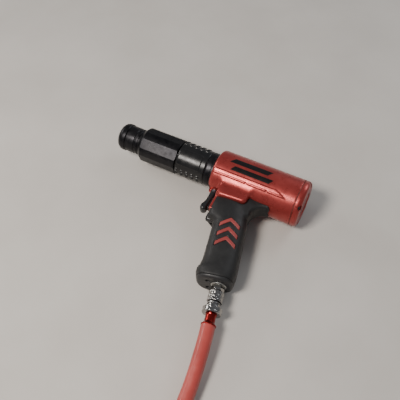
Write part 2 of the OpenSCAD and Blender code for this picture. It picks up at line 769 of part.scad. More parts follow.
module hose_coil() {
    outer = coil_r + 24;
    inner = coil_r - 14;
    color("#b5564f") translate([coil_centre[0], coil_centre[1], coil_z - hose_r]) rotate_extrude()
        polygon([[inner + 4, 0], [outer - 4, 0], [outer, 4], [outer, 12], [outer - 4, 16],
                 [inner + 4, 16], [inner, 12], [inner, 4]]);
}

module hose_tie() {
    color(black_rubber) translate([coil_centre[0], coil_centre[1], 0]) rotate([0, 0, 6]) difference() {
        translate([coil_r - 15.6, -7, 0.2]) cube([40.8, 14, 17.8]);
        translate([coil_r - 14.8, -8, 0.9]) cube([39.2, 16, 16.2]);
    }
}

module at_tail_end() {
    end = coil_point(coil_end) + tail_len * tail_dir;
    translate(end) rotate([0, 90, atan2(tail_dir[1], tail_dir[0])]) children();
}

module hose_end_ferrule() {
    color(bright_steel) at_tail_end() rotate_extrude() polygon([[0, 0], [8.3, 0], [8.3, 13],
        [7.6, 14], [4, 14], [4, 1], [0, 1]]);
}

module hose_end_plug() {
    color(bright_steel) at_tail_end() difference() {
        union() {
            translate([0, 0, 1]) cylinder(r = 4, h = 14);
            translate([0, 0, 14]) cylinder(r = 8, h = 6, $fn = 6);
            rotate_extrude() polygon([[0, 19], [6.4, 19], [6.4, 28], [plug_r + 0.8, 29],
                [plug_r, 30], [plug_r, 33], [3.7, 33.9], [3.7, 36], [plug_r, 36.9],
                [plug_r, 43], [3.6, 45], [3.6, 48], [0, 48]]);
        }
        translate([0, 0, 2]) cylinder(r = 2.4, h = 60);
    }
}

// ---------------------------------------------------------------- parts

housing();
rear_cap();
rear_cap_gasket();
rear_cap_screws();
rear_buffer();
barrel();
barrel_lock_ring();
barrel_shroud();
piston();
valve_block();
valve_disc();
valve_cover();
valve_dowels();
retainer_body();
retainer_sleeve();
retainer_collar();
retainer_nose();
retainer_spring();
retainer_clip();
retainer_ball(1);  // retainer_ball_1
retainer_ball(2);  // retainer_ball_2
retainer_ball(3);  // retainer_ball_3
trigger();
trigger_pin();
throttle_plunger();
throttle_bushing();
throttle_seat();
throttle_spring();
regulator_knob();
regulator_ring();
regulator_spindle();
regulator_seal();
grip_rubber();
grip_inlay();
base_cap();
exhaust_muffler();
inlet_bushing();
inlet_screen();
air_plug();
coupler_body();
coupler_sleeve();
coupler_spring();
coupler_balls();
coupler_valve();
hose_fitting();
hose();
hose_coil();
hose_tail();
hose_tie();
hose_end_ferrule();
hose_end_plug();
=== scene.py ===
"""Looks of the pneumatic rivet gun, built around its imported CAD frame.

Shapes are drawn in millimetres in the upright gun frame: x along the barrel with the muzzle
at -x and the front face of the housing at x = 0, z up, -z towards the grip, and -y the gun's
left side. GUN puts them where the gun lies, in the row frame in metres.
"""
import math

import bpy
import json
import numpy as np
from mathutils import Matrix, Vector


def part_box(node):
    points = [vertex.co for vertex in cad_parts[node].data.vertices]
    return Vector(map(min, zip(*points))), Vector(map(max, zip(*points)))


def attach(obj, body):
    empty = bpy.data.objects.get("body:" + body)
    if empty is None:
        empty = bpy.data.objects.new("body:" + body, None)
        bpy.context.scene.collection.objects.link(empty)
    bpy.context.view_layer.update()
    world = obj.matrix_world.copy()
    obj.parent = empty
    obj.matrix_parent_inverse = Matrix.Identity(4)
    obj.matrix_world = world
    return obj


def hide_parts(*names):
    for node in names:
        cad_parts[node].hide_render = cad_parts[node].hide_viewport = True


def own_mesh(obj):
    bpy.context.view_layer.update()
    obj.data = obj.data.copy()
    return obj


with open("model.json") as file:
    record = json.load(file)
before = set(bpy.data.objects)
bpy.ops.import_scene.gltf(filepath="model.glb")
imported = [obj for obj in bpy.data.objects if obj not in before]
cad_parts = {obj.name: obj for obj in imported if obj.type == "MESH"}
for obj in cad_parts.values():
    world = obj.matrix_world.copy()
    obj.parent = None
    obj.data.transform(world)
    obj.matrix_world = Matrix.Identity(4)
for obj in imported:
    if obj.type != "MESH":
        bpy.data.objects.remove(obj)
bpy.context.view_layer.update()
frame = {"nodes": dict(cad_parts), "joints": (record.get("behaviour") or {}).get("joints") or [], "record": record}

# -------- frames

MM = 0.001
joints = {j["name"]: j for j in frame["joints"]}
slot_of = {s["node"]: s["material_slot"] for s in frame["record"]["subparts"]}

pull_axis = joints["trigger_pull"]["axis"]
roll = math.atan2(-pull_axis[1], pull_axis[2])
barrel_low, barrel_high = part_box("barrel")
axis_y = (barrel_low.y + barrel_high.y) / 2
axis_z = (barrel_low.z + barrel_high.z) / 2
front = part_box("housing")[0].x
GUN = (Matrix.Translation((front, axis_y, axis_z))
       @ Matrix.Rotation(roll - math.pi / 2, 4, "X") @ Matrix.Scale(MM, 4))

# The inlet's direction gives the angle at which the grip leans back
down = GUN.to_3x3().inverted() @ Vector(joints["coupler_sleeve_slide"]["axis"]) * MM
rake = math.atan2(down.x, -down.z)
GRIP_ORIGIN = (54.6, 0, -93)
BASE_W = 49.5
INLET_V = 4
SIN, COS = math.sin(rake), math.cos(rake)
GRIP_LOCAL = Matrix(((COS, 0, SIN, GRIP_ORIGIN[0]), (0, -1, 0, 0),
                     (SIN, 0, -COS, GRIP_ORIGIN[2]), (0, 0, 0, 1)))
GRIP = GUN @ GRIP_LOCAL
INLET = GRIP @ Matrix.Translation((INLET_V, 0, BASE_W))

# -------- camera

VIEW_AZIMUTH = math.radians(26.84)
VIEW_ELEVATION = math.radians(53.5)
VIEW_DISTANCE = 0.6717
VIEW_TARGET = Vector((0.0119, 0.0298, 0.029))

back = Vector((math.sin(VIEW_AZIMUTH) * math.cos(VIEW_ELEVATION),
               -math.cos(VIEW_AZIMUTH) * math.cos(VIEW_ELEVATION), math.sin(VIEW_ELEVATION)))
camera = bpy.data.objects.new("camera", bpy.data.cameras.new("camera"))
camera.data.lens = 50
camera.data.sensor_width = 36
camera.data.clip_start = 0.01
camera.location = VIEW_TARGET + VIEW_DISTANCE * back
camera.rotation_euler = back.to_track_quat("Z", "Y").to_euler()
bpy.context.scene.collection.objects.link(camera)
bpy.context.scene.camera = camera

# -------- mesh tools


def add_mesh(name, points, faces, place=GUN, sharp=40):
    """A mesh object from points in millimetres, put in place in the row frame."""
    mesh = bpy.data.meshes.new(name)
    mesh.from_pydata([tuple(p) for p in points], [], [tuple(int(i) for i in f) for f in faces])
    mesh.transform(place)
    mesh.update()
    obj = bpy.data.objects.new(name, mesh)
    bpy.context.scene.collection.objects.link(obj)
    mesh.polygons.foreach_set("use_smooth", [True] * len(mesh.polygons))
    mesh.set_sharp_from_angle(angle=math.radians(sharp))
    return obj


def rounded(outline, radius, steps=4):
    """The closed outline with each corner replaced by an arc-like bend."""
    out = []
    n = len(outline)
    for i, corner in enumerate(outline):
        before = np.subtract(outline[i - 1], corner)
        after = np.subtract(outline[(i + 1) % n], corner)
        reach = min(radius, 0.45 * np.linalg.norm(before), 0.45 * np.linalg.norm(after))
        start = corner + before / np.linalg.norm(before) * reach
        end = corner + after / np.linalg.norm(after) * reach
        for k in range(steps + 1):
            t = k / steps
            out.append((1 - t) ** 2 * start + 2 * t * (1 - t) * np.array(corner) + t * t * end)
    return out


def divided(outline, step):
    """The closed outline with long stretches cut into pieces no longer than step."""
    out = []
    for i, a in enumerate(outline):
        b = outline[(i + 1) % len(outline)]
        parts = max(1, int(math.ceil(np.linalg.norm(np.subtract(b, a)) / step)))
        out += [np.add(a, np.subtract(b, a) * k / parts) for k in range(parts)]
    return out


def turned(name, outline, place=GUN, sides=96, bevel=0.3, step=None, shape=None, along_z=False):
    """A closed outline of (station, radius) turned about the axis; shape changes the radius."""
    ring = rounded(outline, bevel) if bevel else [np.array(p, float) for p in outline]
    if step:
        ring = divided(ring, step)
    ring = np.array(ring)
    turn = np.arange(sides) * 2 * math.pi / sides
    station = np.repeat(ring[:, 0], sides)
    radius = np.repeat(ring[:, 1], sides)
    angle = np.tile(turn, len(ring))
    if shape:
        radius = shape(station, angle, radius)
    if along_z:
        points = np.stack([radius * np.cos(angle), radius * np.sin(angle), station], 1)
    else:
        points = np.stack([station, -radius * np.cos(angle), -radius * np.sin(angle)], 1)
    rows = len(ring)
    i, j = np.meshgrid(np.arange(rows), np.arange(sides), indexing="ij")
    k, m = (i + 1) % rows, (j + 1) % sides
    faces = np.stack([i * sides + j, k * sides + j, k * sides + m, i * sides + m], -1)
    faces = faces.reshape(-1, 4)
    area = np.sum(ring[:, 0] * np.roll(ring[:, 1], -1) - np.roll(ring[:, 0], -1) * ring[:, 1])
    if (area > 0) != along_z:
        faces = faces[:, ::-1]
    return add_mesh(name, points, faces, place)


def surface(name, field, low, high, step, place=GUN, sharp=50):
    """The zero surface of a distance field, as quads drawn towards the true surface."""
    axes = [np.arange(a - 2 * step, b + 2 * step, step) for a, b in zip(low, high)]
    origin = np.array([a[0] for a in axes])
    size = tuple(len(a) for a in axes)
    grid = np.stack(np.meshgrid(*axes, indexing="ij"), -1).reshape(-1, 3)
    value = field(grid).reshape(size)
    for axis in range(3):
        side = np.moveaxis(value, axis, 0)
        side[0] = side[-1] = 1
    inside = value < 0
    corners = [np.array((i, j, k)) for i in (0, 1) for j in (0, 1) for k in (0, 1)]
    cut = tuple(s - 1 for s in size)
    filled = sum(inside[tuple(slice(low, low + n) for low, n in zip(c, cut))].astype(np.int8)
                 for c in corners)
    active = (filled > 0) & (filled < 8)
    index = np.full(cut, -1)
    cells = np.argwhere(active)
    index[active] = np.arange(len(cells))
    total = np.zeros((len(cells), 3))
    hits = np.zeros(len(cells))
    for a in corners:
        for b in corners:
            if np.sum(b - a) == 1 and np.all(b >= a):
                va = value[tuple((cells + a).T)]
                vb = value[tuple((cells + b).T)]
                cross = (va < 0) != (vb < 0)
                t = va[cross] / (va[cross] - vb[cross])
                total[cross] += cells[cross] + a + t[:, None] * (b - a)
                hits[cross] += 1
    points = origin + step * total / hits[:, None]
    reach = 0.05
    for _ in range(3):
        here = field(points)
        slope = np.stack([field(points + reach * e) - field(points - reach * e)
                          for e in np.eye(3)], 1) / (2 * reach)
        move = here / np.maximum(np.sum(slope * slope, 1), 0.05)
        points -= np.clip(move, -step / 2, step / 2)[:, None] * slope
    faces = []
    for axis in range(3):
        u, v = np.eye(3, dtype=int)[(axis + 1) % 3], np.eye(3, dtype=int)[(axis + 2) % 3]
        first = np.moveaxis(inside, axis, 0)[:-1]
        second = np.moveaxis(inside, axis, 0)[1:]
        edge = np.argwhere(first != second)
        leaving = first[tuple(edge.T)]
        order = [axis] + [a for a in range(3) if a != axis]
        edge = edge[:, np.argsort(order)]
        quad = np.stack([index[tuple((edge - u - v).T)], index[tuple((edge - v).T)],
                         index[tuple(edge.T)], index[tuple((edge - u).T)]], 1)
        quad[~leaving] = quad[~leaving][:, ::-1]
        faces.append(quad)
    return add_mesh(name, points, np.concatenate(faces), place, sharp)


# -------- distance fields


def smooth_min(a, b, k):
    """The smaller of two distances, with a fillet about k wide where they meet."""
    h = np.maximum(k - np.abs(a - b), 0) / k
    return np.minimum(a, b) - h * h * k / 4


def smooth_max(a, b, k):
    """The larger of two distances, with the edge between them rounded off."""
    return -smooth_min(-a, -b, k)


def box_field(p, low, high, radius):
    """Distance to a box with rounded edges."""
    centre = (np.array(low) + high) / 2
    half = (np.array(high, float) - low) / 2 - radius
    q = np.abs(p - centre) - half
    return np.linalg.norm(np.maximum(q, 0), axis=1) + np.minimum(q.max(1), 0) - radius


def disc_field(p, axis, centre, radius, low, high):
    """Distance to a round bar along one axis, between two stations."""
    others = [a for a in range(3) if a != axis]
    r = np.hypot(p[:, others[0]] - centre[0], p[:, others[1]] - centre[1]) - radius
    return np.maximum(r, np.maximum(low - p[:, axis], p[:, axis] - high))


def to_grip(p):
    """Points of the gun frame in the grip's own frame: back, left, down."""
    q = p - np.array(GRIP_ORIGIN)
    return np.stack([q[:, 0] * COS + q[:, 2] * SIN, -q[:, 1], q[:, 0] * SIN - q[:, 2] * COS], 1)


# -------- materials


class Nodes:
    """Short hands for building one node material."""

    def __init__(self, name):
        self.material = bpy.data.materials.new(name)
        self.material.use_nodes = True
        self.tree = self.material.node_tree
        self.shader = self.tree.nodes["Principled BSDF"]
        self.place = self.add("ShaderNodeTexCoord").outputs["Object"]

    def add(self, kind, **settings):
        node = self.tree.nodes.new(kind)
        for key, value in settings.items():
            setattr(node, key, value)
        return node

    def link(self, source, target):
        self.tree.links.new(source, target)

    def noise(self, scale, detail=4, stretch=(1, 1, 1), rough=0.55, turn=(0, 0, 0)):
        mapping = self.add("ShaderNodeMapping")
        mapping.inputs["Scale"].default_value = stretch
        mapping.inputs["Rotation"].default_value = turn
        self.link(self.place, mapping.inputs["Vector"])
        node = self.add("ShaderNodeTexNoise")
        node.inputs["Scale"].default_value = scale
        node.inputs["Detail"].default_value = detail
        node.inputs["Roughness"].default_value = rough
        self.link(mapping.outputs["Vector"], node.inputs["Vector"])
        return node.outputs["Fac"]

    def ramp(self, source, stops):
        node = self.add("ShaderNodeValToRGB")
        ramp = node.color_ramp
        while len(ramp.elements) < len(stops):
            ramp.elements.new(0.5)
        for element, (at, colour) in zip(ramp.elements, stops):
            element.position = at
            element.color = (*colour, 1)
        self.link(source, node.inputs["Fac"])
        return node.outputs["Color"]

    def scaled(self, source, low, high, start=0.3, end=0.7):
        node = self.add("ShaderNodeMapRange")
        node.inputs["From Min"].default_value = start
        node.inputs["From Max"].default_value = end
        node.inputs["To Min"].default_value = low
        node.inputs["To Max"].default_value = high
        self.link(source, node.inputs["Value"])
        return node.outputs["Result"]

    def maths(self, operation, a, b):
        node = self.add("ShaderNodeMath", operation=operation)
        for socket, value in zip(node.inputs, (a, b)):
            if isinstance(value, (int, float)):
                socket.default_value = value
            else:
                self.link(value, socket)
        return node.outputs["Value"]

    def band(self, value, low, high, soft):
        """One between two values and zero outside them, with soft edges."""
        rise = self.scaled(value, 0, 1, low, low + soft)
        fall = self.scaled(value, 1, 0, high - soft, high)
        return self.maths("MULTIPLY", rise, fall)

    def mix(self, factor, a, b):
        node = self.add("ShaderNodeMix", data_type="RGBA")
        for socket, value in ((node.inputs[0], factor), (node.inputs[6], a), (node.inputs[7], b)):
            if isinstance(value, tuple):
                socket.default_value = (*value, 1)
            else:
                self.link(value, socket)
        return node.outputs[2]

    def bump(self, *layers):
        """Bump from (height, strength, distance) layers, the coarsest first."""
        normal = None
        for height, strength, distance in layers:
            node = self.add("ShaderNodeBump")
            node.inputs["Strength"].default_value = strength
            node.inputs["Distance"].default_value = distance
            self.link(height, node.inputs["Height"])
            if normal:
                self.link(normal, node.inputs["Normal"])
            normal = node.outputs["Normal"]
        self.link(normal, self.shader.inputs["Normal"])

    def wear(self, threshold, scale):
        """Where the mesh's own edges are rubbed, broken up by noise."""
        edge = self.add("ShaderNodeAttribute", attribute_name="edge").outputs["Fac"]
        broken = self.maths("MULTIPLY", edge, self.scaled(self.noise(scale, 6), 0.2, 1.3))
        return self.scaled(broken, 0, 1, threshold, threshold + 0.25)

    def finish(self, colour, roughness, **constants):
        self.link(colour, self.shader.inputs["Base Color"])
        self.link(roughness, self.shader.inputs["Roughness"])
        for key, value in constants.items():
            self.shader.inputs[key.replace("_", " ")].default_value = value
        return self.material


# Each stripe's angles round the barrel in degrees, and its ends along it in millimetres
STRIPES = ((-17, -2, 15.6, 65), (5, 17.5, 27, 77))


def black_stripes(m):
    """Mask of two plain stripes along the housing, on the side that faces up."""
    parts = m.add("ShaderNodeSeparateXYZ")
    m.link(m.place, parts.inputs["Vector"])
    x, y, z = parts.outputs
    along = m.maths("DIVIDE", m.maths("SUBTRACT", x, front), MM)
    turn = m.maths("ARCTAN2", m.maths("SUBTRACT", z, axis_z), m.maths("SUBTRACT", y, axis_y))
    turn = m.maths("SUBTRACT", m.maths("MULTIPLY", turn, 180 / math.pi), 90 + math.degrees(roll))
    mask = 0
    for low, high, start, end in STRIPES:
        slant = m.maths("ADD", along, m.maths("MULTIPLY", turn, 0.35))
        edges = m.maths("MULTIPLY", m.band(turn, low, high, 0.3), m.band(slant, start, end, 0.2))
        mask = m.maths("ADD", edges, mask)
    return mask


def red_paint(name):
    m = Nodes(name)
    cloud = m.noise(35, 3)
    flake = m.scaled(m.noise(2600, 2), 0, 1, 0.62, 0.72)
    paint = m.ramp(cloud, [(0.3, (0.29, 0.034, 0.030)), (0.55, (0.35, 0.045, 0.039)),
                           (0.75, (0.40, 0.060, 0.051))])
    dusty = m.mix(m.maths("MULTIPLY", flake, 0.35), paint, (0.62, 0.20, 0.15))
    colour = m.mix(black_stripes(m), dusty, (0.014, 0.013, 0.013))
    colour = m.mix(m.wear(0.8, 700), colour, (0.50, 0.17, 0.13))
    m.bump((m.noise(420, 3), 0.14, 0.0004), (m.noise(2600, 2), 0.22, 0.00012))
    rough = m.maths("ADD", m.scaled(m.noise(160, 4), 0.24, 0.38), m.maths("MULTIPLY", flake, 0.15))
    return m.finish(colour, rough, Metallic=0.6, Coat_Weight=0.12, Coat_Roughness=0.25)


def black_metal(name):
    m = Nodes(name)
    cloud = m.noise(60, 5)
    base = m.ramp(cloud, [(0.3, (0.012, 0.012, 0.014)), (0.7, (0.028, 0.027, 0.029))])
    lines = m.noise(900, 3, stretch=(6, 0.15, 0.15))
    colour = m.mix(m.wear(0.45, 800), base, (0.30, 0.29, 0.28))
    m.bump((lines, 0.10, 0.00008), (m.noise(1500, 3), 0.10, 0.00006))
    return m.finish(colour, m.scaled(m.noise(240, 4), 0.26, 0.46), Metallic=0.85)


def rubber(name, dark, light, rough=(0.48, 0.66), grain=1800, depth=0.00012):
    m = Nodes(name)
    cloud = m.noise(45, 5)
    dust = m.scaled(m.noise(300, 6, rough=0.7), 0, 0.2, 0.55, 0.8)
    base = m.ramp(cloud, [(0.3, dark), (0.7, light)])
    colour = m.mix(dust, base, tuple(c * 2.4 + 0.01 for c in light))
    colour = m.mix(m.maths("MULTIPLY", m.wear(0.5, 500), 0.4), colour, (0.09, 0.088, 0.085))
    m.bump((m.noise(grain, 2), 0.35, depth), (m.noise(grain * 3, 2), 0.2, depth / 2))
    return m.finish(colour, m.scaled(m.noise(140, 4), *rough), Specular_IOR_Level=0.36)


def steel(name, dark, light, rough=(0.18, 0.34), turn=0.0):
    m = Nodes(name)
    lines = m.noise(800, 4, stretch=(6, 0.2, 0.2), turn=(0, 0, turn))
    stain = m.noise(120, 5)
    base = m.ramp(lines, [(0.25, dark), (0.75, light)])
    colour = m.mix(m.scaled(stain, 0, 0.45, 0.55, 0.8), base, tuple(c * 0.45 for c in dark))
    m.bump((lines, 0.12, 0.00005), (m.noise(900, 3), 0.08, 0.00005))
    return m.finish(colour, m.scaled(stain, *rough), Metallic=1.0)


def moulded(name, dark, light, rough=(0.32, 0.48)):
    m = Nodes(name)
    base = m.ramp(m.noise(70, 4), [(0.3, dark), (0.7, light)])
    rubbed = tuple(c * 3 + 0.02 for c in light)
    colour = m.mix(m.maths("MULTIPLY", m.wear(0.5, 600), 0.5), base, rubbed)
    m.bump((m.noise(1400, 2), 0.2, 0.00008), (m.noise(4200, 2), 0.1, 0.00004))
    return m.finish(colour, m.scaled(m.noise(200, 4), *rough))


def hose_rubber(name):
    m = Nodes(name)
    base = m.ramp(m.noise(40, 4), [(0.3, (0.36, 0.045, 0.038)), (0.7, (0.47, 0.075, 0.062))])
    scuff = m.scaled(m.noise(420, 6, rough=0.7), 0, 0.4, 0.58, 0.82)
    colour = m.mix(scuff, base, (0.30, 0.17, 0.15))
    m.bump((m.noise(260, 3), 0.15, 0.0003), (m.noise(1600, 2), 0.2, 0.0001))
    return m.finish(colour, m.scaled(m.noise(150, 4), 0.28, 0.46),
                    Coat_Weight=0.15, Coat_Roughness=0.3)


def woven(name, dark, light):
    m = Nodes(name)
    weave = m.add("ShaderNodeTexWave", wave_type="BANDS", bands_direction="DIAGONAL")
    weave.inputs["Scale"].default_value = 420
    weave.inputs["Distortion"].default_value = 1.2
    m.link(m.place, weave.inputs["Vector"])
    colour = m.mix(weave.outputs["Fac"], dark, light)
    m.bump((weave.outputs["Fac"], 0.6, 0.0002), (m.noise(2400, 3), 0.4, 0.0001))
    return m.finish(colour, m.scaled(m.noise(500, 3), 0.75, 0.95))


# Where a lathe's lines run round the grip's axis
LATHE_TURN = math.pi / 2 + rake

# Each slot's material: its maker, the slot, and the maker's settings
SLOTS = (
    (red_paint, "red_paint"),
    (rubber, "rubber_seal", (0.012, 0.012, 0.013), (0.022, 0.022, 0.023)),
    (moulded, "gasket_fibre", (0.10, 0.022, 0.016), (0.15, 0.036, 0.027), (0.6, 0.8)),
    (steel, "zinc_steel", (0.36, 0.36, 0.35), (0.52, 0.52, 0.50), (0.3, 0.5)),
    (steel, "machined_steel", (0.30, 0.30, 0.31), (0.48, 0.48, 0.49)),
    (black_metal, "black_oxide"),
    (rubber, "shroud_rubber", (0.005, 0.005, 0.0055), (0.010, 0.010, 0.0105), (0.22, 0.36),
     2200, 0.00005),
    (steel, "hardened_steel", (0.42, 0.42, 0.44), (0.60, 0.60, 0.62), (0.12, 0.25)),
    (moulded, "valve_plastic", (0.55, 0.50, 0.38), (0.66, 0.61, 0.48)),
    (steel, "spring_steel", (0.24, 0.24, 0.25), (0.40, 0.40, 0.41), (0.25, 0.4)),
    (moulded, "trigger_plastic", (0.010, 0.010, 0.011), (0.020, 0.020, 0.021), (0.22, 0.36)),
    (steel, "brass", (0.48, 0.33, 0.12), (0.68, 0.50, 0.22), (0.2, 0.38)),
    (rubber, "grip_rubber", (0.009, 0.009, 0.0092), (0.018, 0.0178, 0.0178), (0.42, 0.58)),
    (moulded, "red_inlay", (0.22, 0.030, 0.028), (0.30, 0.045, 0.040), (0.4, 0.55)),
    (moulded, "grip_plastic", (0.011, 0.011, 0.012), (0.020, 0.020, 0.021), (0.4, 0.55)),
    (woven, "felt", (0.22, 0.21, 0.18), (0.34, 0.33, 0.29)),
    (steel, "plated_steel", (0.20, 0.195, 0.19), (0.46, 0.45, 0.43), (0.08, 0.2), LATHE_TURN),
    (steel, "red_anodised", (0.20, 0.012, 0.012), (0.34, 0.030, 0.026), (0.2, 0.36), LATHE_TURN),
    (hose_rubber, "red_hose"),
    (woven, "tie_strap", (0.010, 0.010, 0.012), (0.035, 0.035, 0.04)),
)
MATERIALS = {slot: make(slot, *settings) for make, slot, *settings in SLOTS}


def mark_edges(obj, reach=1.0):
    """Writes how strongly each point stands out from its neighbours, for worn edges."""
    mesh = obj.data
    count = len(mesh.vertices)
    co = np.empty(count * 3)
    mesh.vertices.foreach_get("co", co)
    co = co.reshape(-1, 3)
    normal = np.empty(count * 3)
    mesh.vertex_normals.foreach_get("vector", normal)
    normal = normal.reshape(-1, 3)
    pairs = np.empty(len(mesh.edges) * 2, int)
    mesh.edges.foreach_get("vertices", pairs)
    a, b = pairs.reshape(-1, 2).T
    span = co[b] - co[a]
    length = np.maximum(np.linalg.norm(span, axis=1), 1e-9)
    bend = np.zeros(count)
    weight = np.zeros(count)
    for one, sign in ((a, 1), (b, -1)):
        np.add.at(bend, one, -sign * np.sum(span * normal[one], 1) / length ** 2)
        np.add.at(weight, one, 1)
    bend = np.clip(bend / np.maximum(weight, 1) * MM * reach, 0, 1)
    for _ in range(4):
        total = bend.copy()
        np.add.at(total, a, bend[b])
        np.add.at(total, b, bend[a])
        bend = total / (weight + 1)
    attribute = mesh.attributes.new("edge", "FLOAT", "POINT")
    attribute.data.foreach_set("value", bend.astype(np.float32))


def piece(obj, body, slot, *nodes, edges=1.0):
    """Rides on a body, takes a slot's material and stands for the CAD nodes it replaces."""
    obj.data.materials.clear()
    obj.data.materials.append(MATERIALS[slot])
    if edges and obj.type == "MESH":
        mark_edges(obj, edges)
    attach(obj, body)
    if nodes:
        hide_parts(*nodes)
    return obj


for node_name, node in frame["nodes"].items():
    node.data.materials.clear()
    node.data.materials.append(MATERIALS[slot_of[node_name]])

# -------- hose

HOSE_R = 0.008
# The hose leaves the fitting, sinks to the floor and runs to the side of its coil
HOSE_ROUTE = [(0.0905, -0.1065, 0.017), (0.094, -0.122, 0.016), (0.0975, -0.14, 0.0145),
              (0.1005, -0.158, 0.0125), (0.103, -0.178, 0.0105), (0.105, -0.2, 0.009),
              (0.1065, -0.225, 0.0085), (0.1075, -0.25, 0.0085), (0.1075, -0.28, 0.0085),
              (0.1075, -0.31, 0.0085), (0.1075, -0.33, 0.0088)]
COIL_CENTRE = (0.0075, -0.37)
COIL_R = 0.1
COIL_PITCH = 0.0165
COIL_Z = 0.009
COIL_END = 432
CLIMB_START = 354
CLIMB_HEIGHT = 0.0166
TAIL_LEN = 0.036


def coil_point(angle):
    """A point of the flat coil; its last stretch climbs over the first turn."""
    r = COIL_R - COIL_PITCH * angle / 360
    t = min(max((angle - CLIMB_START) / (COIL_END - CLIMB_START), 0), 1)
    turn = math.radians(angle)
    return Vector((COIL_CENTRE[0] + r * math.cos(turn), COIL_CENTRE[1] - r * math.sin(turn),
                   COIL_Z + CLIMB_HEIGHT * t * t * (3 - 2 * t)))


def tail_ahead():
    """The hose's direction along its straight tail."""
    end = math.radians(COIL_END)
    return Vector((-math.sin(end), -math.cos(end), 0))


def make_hose():
    """The hose as one round curve: the route, the coil and the tail."""
    ahead = tail_ahead()
    route = [Vector(p) for p in HOSE_ROUTE] + [coil_point(a) for a in range(0, COIL_END, 18)]
    route += [coil_point(COIL_END) + ahead * t for t in (0, TAIL_LEN / 2, TAIL_LEN)]
    curve = bpy.data.curves.new("air_hose", "CURVE")
    curve.dimensions = "3D"
    curve.bevel_depth = HOSE_R
    curve.bevel_resolution = 6
    curve.use_fill_caps = True
    spline = curve.splines.new("BEZIER")
    spline.bezier_points.add(len(route) - 1)
    for point, place in zip(spline.bezier_points, route):
        point.co = place
        point.handle_left_type = point.handle_right_type = "AUTO"
    hose = bpy.data.objects.new("air_hose", curve)
    bpy.context.scene.collection.objects.link(hose)
    return piece(hose, "gun", "red_hose", "hose", "hose_coil", "hose_tail")


hose = make_hose()

# -------- housing


def outline_field(u, v, outline):
    """Signed distance to a closed flat outline."""
    best = np.full(len(u), 1e9)
    crossed = np.zeros(len(u), bool)
    for i, a in enumerate(outline):
        b = outline[(i + 1) % len(outline)]
        du, dv = b[0] - a[0], b[1] - a[1]
        t = np.clip(((u - a[0]) * du + (v - a[1]) * dv) / (du * du + dv * dv), 0, 1)
        best = np.minimum(best, np.hypot(u - a[0] - t * du, v - a[1] - t * dv))
        if dv:
            crossed ^= ((a[1] > v) != (b[1] > v)) & (u < a[0] + (v - a[1]) * du / dv)
    return np.where(crossed, -best, best)


def arc(centre, radius, start, end, steps=8):
    """Points of a circular arc, angles in degrees."""
    angles = np.radians(np.linspace(start, end, steps))
    return [(centre[0] + radius * math.cos(a), centre[1] + radius * math.sin(a)) for a in angles]


BODY_R = 29
BODY_LEN = 107.6
CAP_X = 108.2
CAP_LEN = 8
SCREW_RING = 24.6
SCREWS = [45, 135, 225, 315]
WEB_X = 16.6
NECK_HALF = 19
PIVOT = (10.5, -30.8)
LUG_R, LUG_HALF = 4.6, 3.8
REGULATOR_Z = -64.3
THROTTLE_Z = -50
NECK = [(WEB_X, -10), (WEB_X, -38), (22, -41)] + arc((49, -33), 6, -80, 0) + [(55, -10)]
RAIL_FROM, RAIL_TO = 25, 36.5
RAIL_R = 29.75
RAIL_END = 96
RAIL_TIP = 13
RAIL_NOTCHES = (45.5, 72)
INLET_R = 9
# The metal core inside the grip, in the grip's frame
CORE_FRONT, CORE_BACK, CORE_HALF, CORE_END = -15, 14, 11.5, 43.5


def side_angle(p):
    """Degrees around the barrel from the side towards the grip, the same on both sides."""
    return np.degrees(np.arctan2(-p[:, 2], np.abs(p[:, 1])))


def rail_field(p, r):
    """The raised rail along each side, with an arrow-shaped rear end and two notches."""
    a = side_angle(p)
    x = p[:, 0]
    tip = np.clip((x - RAIL_END + RAIL_TIP) / RAIL_TIP, 0, 1)
    across = np.maximum(RAIL_FROM + (RAIL_TO - RAIL_FROM) * tip - a, a - RAIL_TO)
    across = across * BODY_R * math.pi / 180
    along = np.maximum(2.5 - x, x - RAIL_END)
    field = smooth_max(smooth_max(across, along, 1.2), r - RAIL_R, 1.0)
    for notch in RAIL_NOTCHES:
        gap = np.maximum(np.abs(x - notch) - 1.3, (33 - a) * BODY_R * math.pi / 180)
        field = smooth_max(field, -gap, 0.8)
    # The rail's face is slightly hollow between its two crisp edges
    hollow = 0.35 * np.clip(1 - ((a - 30.5) / 4) ** 2, 0, 1)
    return np.maximum(field, r - RAIL_R + hollow)


